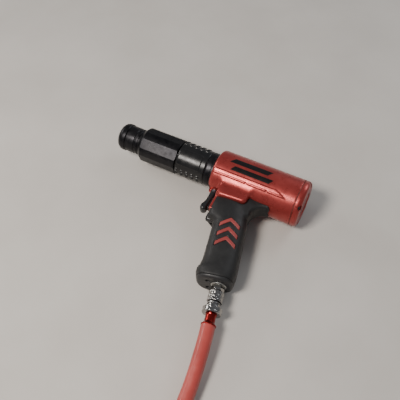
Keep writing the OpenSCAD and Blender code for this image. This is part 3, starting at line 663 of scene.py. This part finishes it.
def housing_field(p):
    """The casting: barrel body, neck, web, grip core and the trigger's lug, with their bores."""
    x, y, z = p.T
    r = np.hypot(y, z)
    body = smooth_max(smooth_max(r - BODY_R, -x, 4.6), x - BODY_LEN, 0.25)
    body = smooth_min(body, rail_field(p, r), 0.5)
    neck = smooth_max(outline_field(x, z, NECK) - 0.2, np.abs(y) - NECK_HALF, 5)
    neck = smooth_max(neck, z + 12, 0.5)
    solid = smooth_min(body, neck, 5)
    web = box_field(p, (WEB_X, -12, -59), (30, 12, -14), 1.6)
    solid = smooth_min(solid, web, 3)
    local = to_grip(p)
    core = box_field(local, (CORE_FRONT, -CORE_HALF, -52), (CORE_BACK, CORE_HALF, CORE_END), 1)
    solid = np.minimum(solid, core)
    pocket = box_field(p, (0.8, -7.1, -41), (WEB_X, 7.1, -23.6), 0.8)
    slot = box_field(p, (WEB_X - 3, -4.4, -57), (22, 4.4, -23.6), 0.8)
    solid = smooth_max(smooth_max(solid, -pocket, 0.5), -slot, 0.5)
    lug = disc_field(p, 1, PIVOT, LUG_R, -LUG_HALF, LUG_HALF)
    root = box_field(p, (PIVOT[0] - LUG_R, -LUG_HALF, PIVOT[1]),
                     (PIVOT[0] + LUG_R, LUG_HALF, -22.8), 0.4)
    solid = smooth_min(solid, np.minimum(lug, root), 0.6)
    seat = disc_field(p, 0, (0, 0), 19, -5, 14)
    chamber = disc_field(p, 0, (0, 0), 17.5, 10, 63)
    stack = disc_field(p, 0, (0, 0), 20, 62, 120)
    pin = disc_field(p, 1, PIVOT, 2, -20, 20)
    throttle = disc_field(p, 0, (0, THROTTLE_Z), 6, 20, 54)
    spindle = disc_field(p, 0, (0, REGULATOR_Z), 3, 20, 58)
    knob_room = disc_field(p, 0, (0, REGULATOR_Z), 6.5, 15.6, 29.2)
    inlet = disc_field(local, 2, (INLET_V, 0), INLET_R, BASE_W - 18, BASE_W + 12)
    for cut in (seat, chamber, stack, pin, throttle, spindle, knob_room, inlet):
        solid = smooth_max(solid, -cut, 0.5)
    return solid


def rear_cap_field(p):
    """The rear cap: dished, rounded at its rim, with a plug in front and four screw holes."""
    x, y, z = p.T
    r = np.hypot(y, z)
    solid = smooth_max(smooth_max(r - BODY_R, x - CAP_X - CAP_LEN, 5.5), CAP_X - x, 0.25)
    dish = np.maximum(r - 15.5, CAP_X + CAP_LEN - 1.2 - x)
    solid = smooth_max(solid, -dish, 1.2)
    plug = disc_field(p, 0, (0, 0), 19.9, 105, CAP_X + 1)
    solid = np.minimum(solid, plug)
    for place in SCREWS:
        turn = math.radians(place)
        centre = (SCREW_RING * math.sin(turn), SCREW_RING * math.cos(turn))
        head = disc_field(p, 0, centre, 3.8, CAP_X + 2.5, CAP_X + 20)
        shank = disc_field(p, 0, centre, 2.2, CAP_X - 5, CAP_X + 20)
        solid = smooth_max(smooth_max(solid, -head, 0.6), -shank, 0.4)
    return solid


GRIP_CORE_Z = -141
piece(surface("housing_casting", housing_field, (0, -BODY_R, GRIP_CORE_Z),
              (BODY_LEN, BODY_R, BODY_R), 0.9),
      "gun", "red_paint", "housing")
piece(surface("rear_cap_casting", rear_cap_field, (105, -BODY_R, -BODY_R),
              (CAP_X + CAP_LEN, BODY_R, BODY_R), 0.8),
      "gun", "red_paint", "rear_cap")
GASKET = [(BODY_LEN, 20), (BODY_LEN, BODY_R - 0.1), (CAP_X, BODY_R - 0.1), (CAP_X, 20)]
piece(turned("cap_gasket", GASKET, bevel=0.1), "gun", "gasket_fibre", "rear_cap_gasket", edges=0)


def screw_field(p):
    """Socket-head screw along x, its head's far face at zero."""
    r = np.hypot(p[:, 1], p[:, 2])
    head = smooth_max(smooth_max(r - 3.5, p[:, 0], 0.8), -3.6 - p[:, 0], 0.4)
    shank = smooth_max(r - 2, np.maximum(p[:, 0] + 3, -18 - p[:, 0]), 0.5)
    turn = np.arctan2(p[:, 1], p[:, 2]) % (math.pi / 3) - math.pi / 6
    socket = np.maximum(r * np.cos(turn) - 1.5, -2.1 - p[:, 0])
    return smooth_max(np.minimum(head, shank), -socket, 0.25)


def many(name, one, places):
    """One mesh with copies of another mesh at several places, which replaces it."""
    mesh = one.data
    count = len(mesh.vertices)
    points = np.empty(count * 3)
    mesh.vertices.foreach_get("co", points)
    points = np.c_[points.reshape(-1, 3), np.ones(count)]
    faces = [list(f.vertices) for f in mesh.polygons]
    bpy.data.objects.remove(one)
    moved = np.concatenate([(points @ np.array(place).T)[:, :3] for place in places])
    copies = [[i + k * count for i in f] for k in range(len(places)) for f in faces]
    return add_mesh(name, moved, copies)


def around_x(degrees, x, y, z):
    """A place moved off the barrel's axis, then turned about it."""
    return Matrix.Rotation(math.radians(degrees), 4, "X") @ Matrix.Translation((x, y, z))


SCREW_TOP = CAP_X + 6.1
one_screw = surface("screw", screw_field, (-18, -3.5, -3.5), (0, 3.5, 3.5), 0.3, Matrix())
piece(many("cap_screws", one_screw, [around_x(turn, SCREW_TOP, 0, -SCREW_RING) for turn in SCREWS]),
      "gun", "black_oxide", "rear_cap_screws")

# -------- barrel and retainer

NOSE_X = -138.6
NOSE_LEN = 12
NOSE_R = 17.8
COLLAR_R = 17
SLEEVE_R = 22.3
SHROUD_R = 22
NOSE_ROUND = 8
GROOVES = (24.8, 30.1)

LOCK_RING = [(-10.4, 16), (-10.4, 21.2), (-8.8, 21.6), (-3.4, 21.6), (-3.2, 21.1), (-2.4, 21.1),
             (-2.2, 21.6), (-0.8, 21.6), (-0.1, 21), (-0.1, 19), (13.9, 19), (13.9, 16)]
piece(turned("lock_ring", LOCK_RING, sides=144, bevel=0.35),
      "gun", "black_oxide", "barrel_lock_ring")

DOT_ROWS = list(range(-156, -18, 12)) + [79.5, 90, 100.5]
DOT_PITCH = 7.35
DOT_X = -33.1
LANDS = (30, 150)


def shroud_shape(x, turn, radius):
    """Rows of raised oblong dots, and a smooth raised land along each side."""
    degrees = (np.degrees(turn) + 180) % 360 - 180
    outer = radius > SHROUD_R - 1.2
    bump = np.zeros(len(x))
    for row in DOT_ROWS:
        across = ((degrees - row + 180) % 360 - 180) * SHROUD_R * math.pi / 180
        for k in range(-2, 3):
            along = np.maximum(np.abs(x - DOT_X - k * DOT_PITCH) - 1.1, 0)
            size = np.hypot(along, across) / 1.05
            bump = np.maximum(bump, 0.85 * np.sqrt(np.clip(1 - size ** 2, 0, 1)))
    land = np.zeros(len(x))
    for middle in LANDS:
        across = np.abs((degrees - middle + 180) % 360 - 180) * SHROUD_R * math.pi / 180
        along = np.abs(x - DOT_X) - 15.5
        corner = smooth_max(across - 11, along, 4)
        land = np.maximum(land, 0.5 * np.clip(0.5 - corner, 0, 1))
    return np.where(outer, radius - 0.35 + np.maximum(bump, land), radius)


SHROUD = [(-50.4, 16), (-50.4, 21.2), (-49.6, 22), (-11.5, 22), (-10.6, 21.2), (-10.6, 16)]
piece(turned("shroud", SHROUD, sides=360, bevel=0.6, step=0.42, shape=shroud_shape),
      "gun", "shroud_rubber", "barrel_shroud")


def sleeve_shape(x, turn, radius):
    """Six flats with round lands between them."""
    facet = np.degrees(turn - math.radians(36.5)) % 60
    facet = np.minimum(facet, 60 - facet)
    flat = SLEEVE_R * math.cos(math.radians(16.5)) / np.cos(np.radians(facet))
    return np.where(radius > 19, smooth_min(radius, flat, 0.12), radius)


SLEEVE = [(-96, 17.3), (-105.4, 17.3), (-106, 17.9), (-101.2, 22.3), (-52, 22.3), (-51.1, 21.4),
          (-51.1, 16.5), (-96, 16.5)]
piece(turned("faceted_sleeve", SLEEVE, sides=360, bevel=0.5, step=1.5, shape=sleeve_shape),
      "gun", "black_oxide", "retainer_sleeve")

groove_line = [(NOSE_X + groove + along, COLLAR_R - depth) for groove in GROOVES
               for along, depth in ((-0.6, 0), (0, 0.7), (1, 0.7), (1.6, 0))]
COLLAR = ([(NOSE_X + 8, 16), (NOSE_X + 12.1, 16), (NOSE_X + 12.1, COLLAR_R - 0.3),
           (NOSE_X + 12.5, COLLAR_R)] + groove_line
          + [(-104.4, COLLAR_R), (-104.4, 15.4), (NOSE_X + 21.2, 15.4), (NOSE_X + 21.2, 13.1),
             (NOSE_X + 18.2, 13.1), (NOSE_X + 12, 15)])
piece(turned("slide_collar", COLLAR, sides=144, bevel=0.25),
      "collar", "black_oxide", "retainer_collar")
NOSE = ([(NOSE_X + 8, 15.1), (NOSE_X + 3.8, 15.1), (NOSE_X + 3.8, 13.3), (NOSE_X + 2, 13.3),
         (NOSE_X + 2, 9.3), (NOSE_X + 0.4, 9.3)]
        + arc((NOSE_X + NOSE_ROUND, NOSE_R - NOSE_ROUND), NOSE_ROUND, 180, 90, 11)
        + [(NOSE_X + 11.2, NOSE_R), (NOSE_X + NOSE_LEN, NOSE_R - 0.7), (NOSE_X + NOSE_LEN, 16.05),
           (NOSE_X + 8, 16.05)])
piece(turned("slide_nose", NOSE, sides=144, bevel=0.2), "collar", "black_oxide", "retainer_nose")


def coil_spring(name, mean_r, wire_r, start, end, turns, place, along_z=False):
    """A round wire wound about the axis, its end coils lying flat."""
    sides, per_turn = 10, 32
    rings = int(turns * per_turn)
    points = []
    for i in range(rings + 1):
        t = i / rings
        eased = min(max((t * turns - 0.7) / (turns - 1.4), 0), 1)
        at = start + wire_r + (end - start - 2 * wire_r) * (0.93 * eased + 0.07 * t)
        turn = 2 * math.pi * i / per_turn
        for j in range(sides):
            b = 2 * math.pi * j / sides
            r = mean_r + wire_r * math.cos(b)
            station = at + wire_r * math.sin(b)
            ring = (r * math.cos(turn), r * math.sin(turn))
            points.append((*ring, station) if along_z else (station, ring[0], ring[1]))
    faces = [(i * sides + j, i * sides + k, (i + 1) * sides + k, (i + 1) * sides + j)
             for i in range(rings) for j in range(sides) for k in [(j + 1) % sides]]
    faces += [list(range(sides))[::-1], [rings * sides + j for j in range(sides)]]
    return add_mesh(name, points, faces, place)


def sprung(spring, node):
    """A spring that rides on the gun's body, with a mesh of its own."""
    piece(spring, "gun", "spring_steel", node, edges=0)
    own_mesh(spring)


SPRING_FRONT = NOSE_X + 21.3
SPRING_REAR = -96.1
sprung(coil_spring("collar_spring", 14.2, 0.6, SPRING_FRONT, SPRING_REAR, 6, GUN),
       "retainer_spring")
THROTTLE = GUN @ Matrix.Translation((0, 0, THROTTLE_Z))
sprung(coil_spring("plunger_spring", 3.4, 0.4, 36, 53.9, 8, THROTTLE), "throttle_spring")

# -------- trigger and regulator

TRIGGER_HALF = 6.5
PAD = ([(14.2, -30.8)] + arc(PIVOT, 3.8, 10, 180)
       + [(6.6, -34), (7.2, -39), (7.2, -44), (6.4, -49), (5.2, -53)]
       + arc((8.6, -56.6), 4, 160, 290) + [(12.4, -59), (12.6, -54), (13.4, -44), (14.2, -36)])
WEB = [(10, -33), (14, -31), (16.9, -36), (16.9, -54), (15, -55.6), (10, -54)]


def trigger_field(p):
    """The finger trigger: a hollowed pad and a web, forked over the housing's lug."""
    x, y, z = p.T
    flat = outline_field(x, z, PAD)
    narrow = 0.8 * np.clip((z + 46) / 16, 0, 1)
    pad = smooth_max(flat - 0.1, np.abs(y) - TRIGGER_HALF + narrow, 3.4)
    web = smooth_max(outline_field(x, z, WEB), np.abs(y) - 4, 0.8)
    solid = smooth_min(pad, web, 0.8)
    finger = disc_field(p, 1, (-6.2, -45.5), 13.2, -10, 10)
    solid = smooth_max(solid, -finger, 1.2)
    fork = disc_field(p, 1, PIVOT, LUG_R + 1, -LUG_HALF - 0.3, LUG_HALF + 0.3)
    solid = smooth_max(solid, -fork, 0.3)
    for k in (-1, 0, 1):
        rib = np.hypot(x - 6.7, z + 44 + 3.2 * k) - 0.45
        solid = smooth_max(solid, -np.maximum(rib, np.abs(y) - 4.6), 0.4)
    return smooth_max(solid, -disc_field(p, 1, PIVOT, 2.05, -20, 20), 0.3)


piece(surface("finger_trigger", trigger_field, (2, -7, -62), (18, 7, -26), 0.4),
      "trigger", "trigger_plastic", "trigger")
PIN_OUTLINE = [(-6.2, 0.01), (-6.2, 1.6), (-5.8, 2), (5.8, 2), (6.2, 1.6), (6.2, 0.01)]
PIN = GUN @ Matrix.Translation((PIVOT[0], 0, PIVOT[1])) @ Matrix.Rotation(math.pi / 2, 4, "Z")
piece(turned("pivot_pin", PIN_OUTLINE, PIN, sides=48, bevel=0.1),
      "gun", "hardened_steel", "trigger_pin")

REGULATOR = GUN @ Matrix.Translation((0, 0, REGULATOR_Z))
FLUTES = 16
FLUTE_DEPTH = 0.3


def knob_shape(x, turn, radius):
    """Shallow flutes round the knob, running out before its rear face."""
    depth = np.clip((27.6 - x) / 1.2, 0, 1) * FLUTE_DEPTH
    return np.where(radius > 4.5, radius - depth * (0.5 + 0.5 * np.cos(FLUTES * turn)), radius)


DIAL = [(19.05, 0.01), (19.05, 5.6), (19.7, 6.2), (28.2, 6.2), (28.8, 5.6), (28.8, 3), (20, 3),
        (20, 0.01)]
piece(turned("regulator_dial", DIAL, REGULATOR, sides=192, bevel=0.25, step=0.8,
             shape=knob_shape),
      "regulator", "trigger_plastic", "regulator_knob", edges=0.3)


def ring_field(p):
    """The regulator's slotted front face, a cone that widens towards the knob."""
    r = np.hypot(p[:, 1], p[:, 2])
    cone = (r - 5.2 - 0.5 * (p[:, 0] - 17.6)) * 0.9
    solid = smooth_max(smooth_max(cone, 17.6 - p[:, 0], 0.5), p[:, 0] - 19, 0.1)
    slot = np.maximum(np.maximum(np.abs(p[:, 2]) - 0.6, np.abs(p[:, 1]) - 4), p[:, 0] - 18.2)
    return smooth_max(solid, -slot, 0.15)


piece(surface("regulator_face", ring_field, (17.6, -6, -6), (19, 6, 6), 0.25, REGULATOR),
      "regulator", "black_oxide", "regulator_ring", edges=0)

# -------- grip

# Stations down the grip, each with its front, back and half thickness
GRIP_ROWS = np.array([
    [-66, -33, 18, 14], [-56, -31, 17.5, 16], [-46, -31, 17.8, 17.2], [-37, -31, 18.6, 17.8],
    [-30.5, -28.5, 19.3, 18], [-27, -22, 19.7, 18.1], [-22, -20.5, 20.2, 18.3],
    [0, -20.5, 20.7, 18.3], [22, -20.7, 21.2, 18.5], [31, -22, 21.3, 18.9],
    [36, -24.6, 21.2, 19.4], [40, -24.4, 20.8, 19.6], [45.5, -22.5, 20, 19.6]])
RUBBER_END = 45.5
RUBBER_FRONT = 19
ROUNDNESS = 2.6
SADDLE = [(46, -24), (82, -24), (82, -28.9)] + arc((84, -50.9), 21.4, 95, 172)
CHEVRON = [(-12, 0), (0, 8.5), (12, 0), (12, 5.5), (0, 14), (-12, 5.5)]
CHEVRON_PITCH = 12.5


def eased_rows(w):
    """Front, back and half thickness at a distance down the grip, without kinks."""
    total = 0
    for shift in (-2, -1, 0, 1, 2):
        total = total + np.stack([np.interp(w + shift, GRIP_ROWS[:, 0], GRIP_ROWS[:, k])
                                  for k in (1, 2, 3)])
    return total / 5


def section_field(local, front, back, half):
    """Nearly the distance to the grip's rounded section."""
    u = (local[:, 0] - (front + back) / 2) / ((back - front) / 2)
    v = local[:, 1] / half
    norm = (np.abs(u) ** ROUNDNESS + np.abs(v) ** ROUNDNESS) ** (1 / ROUNDNESS)
    return (norm - 1) * half


def grip_skin(local):
    """Nearly the distance to the grip's outer surface."""
    return section_field(local, *eased_rows(local[:, 2]))


def chevron_field(local):
    """The three chevrons' outline on the left side of the grip."""
    field = np.full(len(local), 1e3)
    for i in range(3):
        up = CHEVRON_PITCH * i - 16 - local[:, 2]
        field = np.minimum(field, outline_field(local[:, 0] - 1, up, CHEVRON))
    return np.maximum(field, -local[:, 1])


def saddle_field(p):
    """The web of rubber behind the grip, under the rear of the barrel."""
    return smooth_max(outline_field(p[:, 0], p[:, 2], SADDLE), np.abs(p[:, 1]) - 12, 5)


def rubber_field(p):
    """The rubber sleeve: the grip's skin and saddle, cut back where the casting shows."""
    x, y, z = p.T
    local = to_grip(p)
    skin = grip_skin(local)
    solid = smooth_max(skin, local[:, 2] - RUBBER_END + 0.1, 1.6)
    solid = smooth_max(solid, -62 - local[:, 2], 1)
    solid = smooth_min(solid, saddle_field(p), 7)
    solid = smooth_max(solid, BODY_R + 0.05 - np.hypot(y, z), 1.2)
    neck = smooth_max(outline_field(x, z, NECK) - 0.2, np.abs(y) - NECK_HALF - 0.6, 1)
    solid = smooth_max(solid, -neck, 1.4)
    front = np.maximum(x - RUBBER_FRONT, -80 - z)
    solid = smooth_max(solid, -front, 1.6)
    flange = box_field(p, (15, -12, -59.1), (30, 12, -14), 0.5)
    knob = disc_field(p, 0, (0, REGULATOR_Z), 7.2, 8, 29.4)
    under = np.maximum(np.maximum(x - 29, -100 - z), z + 70.5)
    for cut in (flange, knob, under):
        solid = smooth_max(solid, -cut, 0.8)
    core = box_field(local, (CORE_FRONT, -CORE_HALF, -60), (CORE_BACK, CORE_HALF, CORE_END), 1)
    inlet = disc_field(local, 2, (INLET_V, 0), INLET_R, 20, 60)
    solid = smooth_max(smooth_max(solid, -core, 0.3), -inlet, 0.3)
    pocket = np.maximum(chevron_field(local) - 0.1, -1.6 - skin)
    return smooth_max(solid, -pocket, 0.35)


def inlay_field(local):
    """The three chevrons, a little proud of the rubber."""
    skin = grip_skin(local)
    return smooth_max(smooth_max(chevron_field(local) + 0.15, skin - 0.2, 0.7), -1.5 - skin, 0.2)


piece(surface("grip_sleeve", rubber_field, (17, -20, -142), (84, 20, -23), 0.8),
      "gun", "grip_rubber", "grip_rubber")
piece(surface("grip_chevrons", inlay_field, (-12, 13, -31), (14, 19, 19), 0.45, GRIP),
      "gun", "red_inlay", "grip_inlay")


def base_field(local):
    """The cap that ends the grip, with the inlet's bore and two exhaust holes."""
    v, h, w = local.T
    t = np.clip((w - RUBBER_END) / (BASE_W - RUBBER_END), 0, 1)
    shrink = 3.2 * t ** 2.2
    solid = section_field(local, -22.3 + shrink, 19.9 - 0.9 * shrink, 19.4 - 0.9 * shrink)
    solid = smooth_max(smooth_max(solid, w - BASE_W + 0.02, 1.4), RUBBER_END + 0.05 - w, 0.9)
    inlet = disc_field(local, 2, (INLET_V, 0), INLET_R, 20, 60)
    solid = smooth_max(solid, -inlet, 0.6)
    for side in (-1, 1):
        hole = disc_field(local, 2, (-8, 8.2 * side), 2.6, 20, 60)
        solid = smooth_max(solid, -hole, 0.8)
    return solid


piece(surface("grip_base", base_field, (-23, -20, 45), (21, 20, BASE_W), 0.6, GRIP),
      "gun", "grip_plastic", "base_cap")

# -------- air inlet and coupler


def hexagon(across_corners, low, high):
    """Shape that trims the radius to a hexagon between two stations."""
    def shape(z, turn, radius):
        facet = turn % (math.pi / 3) - math.pi / 6
        flat = across_corners * math.cos(math.pi / 6) / np.cos(facet)
        return np.where((z > low) & (z < high) & (radius > 5.2), np.minimum(radius, flat), radius)
    return shape


def inlet_part(name, outline, slot, node, body="gun", sides=144, bevel=0.25, shape=None):
    """A piece turned about the air inlet's axis."""
    piece(turned(name, outline, INLET, sides, bevel, shape=shape, along_z=True), body, slot, node)


NUT = [(-18, 5), (-18, 8.95), (-0.1, 8.95), (0.4, 8.4), (0.4, 5.6), (-0.2, 5)]
PLUG = [(-10, 2.4), (-10, 5), (0.6, 5), (0.6, 6.6), (1.3, 7.6), (5.7, 7.6), (6.4, 6.6), (6.4, 4.6),
        (9, 4.6), (9.9, 3.7), (12, 3.7), (12.9, 4.6), (20, 4.6), (22, 3.6), (25, 3.6), (25, 2.4)]
COUPLER = [(7.8, 4.65), (7.8, 6.6), (8.1, 6.9), (26.4, 6.9), (26.4, 10), (27.3, 11), (28.4, 11),
           (28.8, 10.7), (31.2, 10.7), (31.6, 11), (32.6, 11), (33.6, 10), (33.6, 6.5), (30, 5),
           (27.4, 5), (27.4, 3.4), (25.2, 3.4), (25.2, 4.65)]
inlet_part("inlet_nut", NUT, "zinc_steel", "inlet_bushing", sides=96, bevel=0.3)
inlet_part("coupler_plug", PLUG, "plated_steel", "air_plug", shape=hexagon(7.6, 0.5, 6.5))
inlet_part("coupler_barrel", COUPLER, "plated_steel", "coupler_body")


def knurl_shape(z, turn, radius):
    """Fine straight knurls on the sleeve's raised bands."""
    return np.where(radius > 8.5, radius - 0.12 * (np.cos(40 * turn) > 0), radius)


SLIDE = [(7.4, 6.95), (7.4, 8.1), (8.1, 8.7), (10.4, 8.7), (11, 8.1), (12.6, 8.2), (13.2, 8.7),
         (15.4, 8.7), (16, 8.1), (17.2, 8.2), (17.8, 8.7), (19, 8.7), (19.4, 8.4), (19.4, 8),
         (12.4, 8), (12.4, 6.95)]
inlet_part("coupler_slide", SLIDE, "plated_steel", "coupler_sleeve", "coupler_sleeve",
           sides=320, bevel=0.2, shape=knurl_shape)
sprung(coil_spring("coupler_return_spring", 7.45, 0.35, 12.5, 26.3, 5, INLET, along_z=True),
       "coupler_spring")
BARB = [(30, 3), (30, 5), (33.65, 5), (33.65, 6.2), (34, 6.4), (35.1, 5.9), (42.6, 5.9),
        (44.6, 7.2), (45.8, 8.6), (47, 8.6), (47, 3)]
inlet_part("hose_barb", BARB, "red_anodised", "hose_fitting", sides=120, bevel=0.3)

# -------- pieces on the hose


def tail_end():
    """Frame at the end of the hose's tail, z along the hose."""
    ahead = tail_ahead()
    turn = ahead.to_track_quat("Z", "Y").to_matrix().to_4x4()
    return Matrix.Translation(coil_point(COIL_END) + ahead * TAIL_LEN) @ turn @ Matrix.Scale(MM, 4)


TAIL = tail_end()
CRIMP = [(-9, 8.02), (-9, 8.25), (0.5, 8.3), (1.2, 8.05), (2.2, 8.05), (3, 8.3), (4.6, 8.3),
         (5.2, 8.05), (6.2, 8.05), (6.8, 8.3), (12.6, 8.3), (13.6, 7.7), (13.9, 7.2), (13.9, 4),
         (0.5, 4), (0.5, 8.02)]
END_PLUG = [(1, 2.4), (1, 4), (14, 4), (14, 7), (14.7, 8), (19.3, 8), (20, 7), (20, 6.4),
            (28, 6.4), (29, 5.4), (30, 4.6), (33, 4.6), (33.9, 3.7), (36, 3.7), (36.9, 4.6),
            (43, 4.6), (45, 3.6), (48, 3.6), (48, 2.4)]
ferrule = piece(turned("hose_crimp", CRIMP, TAIL, sides=96, bevel=0.15, along_z=True),
                "gun", "plated_steel", "hose_end_ferrule")
end_plug = piece(turned("supply_plug", END_PLUG, TAIL, sides=144, bevel=0.25,
                        shape=hexagon(8, 13.9, 20.1), along_z=True),
                 "gun", "plated_steel", "hose_end_plug")


def tie_strap():
    """A strap round the two hose turns that lie side by side."""
    turn = math.radians(6)
    inner, outer = 0.0838, 0.1003
    half_gap = (outer - inner) / 2
    middle = (inner + outer) / 2
    width, thick, stick = 0.014, 0.0008, 0.0081
    loop = []
    for side in (1, -1):
        for k in range(16):
            a = math.radians(-90 * side + 180 * k / 15)
            loop.append((side * half_gap + stick * math.cos(a), stick * math.sin(a)))
    points, faces = [], []
    for u, v in loop:
        side = 1 if u > 0 else -1
        du, dv = u - side * half_gap, v
        scale = thick / math.hypot(du, dv)
        for grow, shift in ((0, -1), (1, -1), (1, 1), (0, 1)):
            points.append((middle + u + du * scale * grow, shift * width / 2,
                           COIL_Z + v + dv * scale * grow))
    for i in range(len(loop)):
        j = (i + 1) % len(loop)
        faces += [(i * 4 + k, i * 4 + m, j * 4 + m, j * 4 + k)
                  for k, m in ((0, 1), (1, 2), (2, 3), (3, 0))]
    place = Matrix.Translation((COIL_CENTRE[0], COIL_CENTRE[1], 0)) @ Matrix.Rotation(turn, 4, "Z")
    strap = add_mesh("hose_strap", points, faces, place)
    bevel = strap.modifiers.new("bevel", "BEVEL")
    bevel.width = 0.0003
    bevel.segments = 2
    return piece(strap, "gun", "tie_strap", "hose_tie", edges=0)


strap = tie_strap()

# -------- floor and lights

bpy.ops.mesh.primitive_plane_add(size=6)
floor = bpy.context.object
floor.name = "floor"


def floor_material():
    m = Nodes("floor")
    colour = m.ramp(m.noise(8, 6), [(0.3, (0.50, 0.47, 0.43)), (0.7, (0.56, 0.53, 0.49))])
    m.bump((m.noise(180, 6), 0.08, 0.0006))
    return m.finish(colour, m.scaled(m.noise(20, 4), 0.6, 0.75))


floor.data.materials.append(floor_material())


def add_light(name, direction, distance, size, power, colour):
    """A soft square light that looks at the gun from a direction."""
    light = bpy.data.objects.new(name, bpy.data.lights.new(name, "AREA"))
    light.data.shape = "SQUARE"
    light.data.size = size
    light.data.energy = power
    light.data.color = colour
    towards = Vector(direction).normalized()
    light.location = VIEW_TARGET + distance * towards
    light.rotation_euler = towards.to_track_quat("Z", "Y").to_euler()
    bpy.context.scene.collection.objects.link(light)


add_light("key_light", (-0.27, -0.52, 0.81), 1.3, 0.34, 19, (1.0, 0.94, 0.88))
add_light("back_light", (0.35, 0.85, 0.55), 1.6, 0.7, 7, (0.92, 0.96, 1.0))
add_light("side_light", (-1.0, 0.1, 0.45), 1.6, 0.5, 6, (1.0, 0.96, 0.92))

world = bpy.data.worlds.new("world")
bpy.context.scene.world = world
world.use_nodes = True
world.node_tree.nodes["Background"].inputs["Color"].default_value = (0.9, 0.93, 1.0, 1)
world.node_tree.nodes["Background"].inputs["Strength"].default_value = 0.24
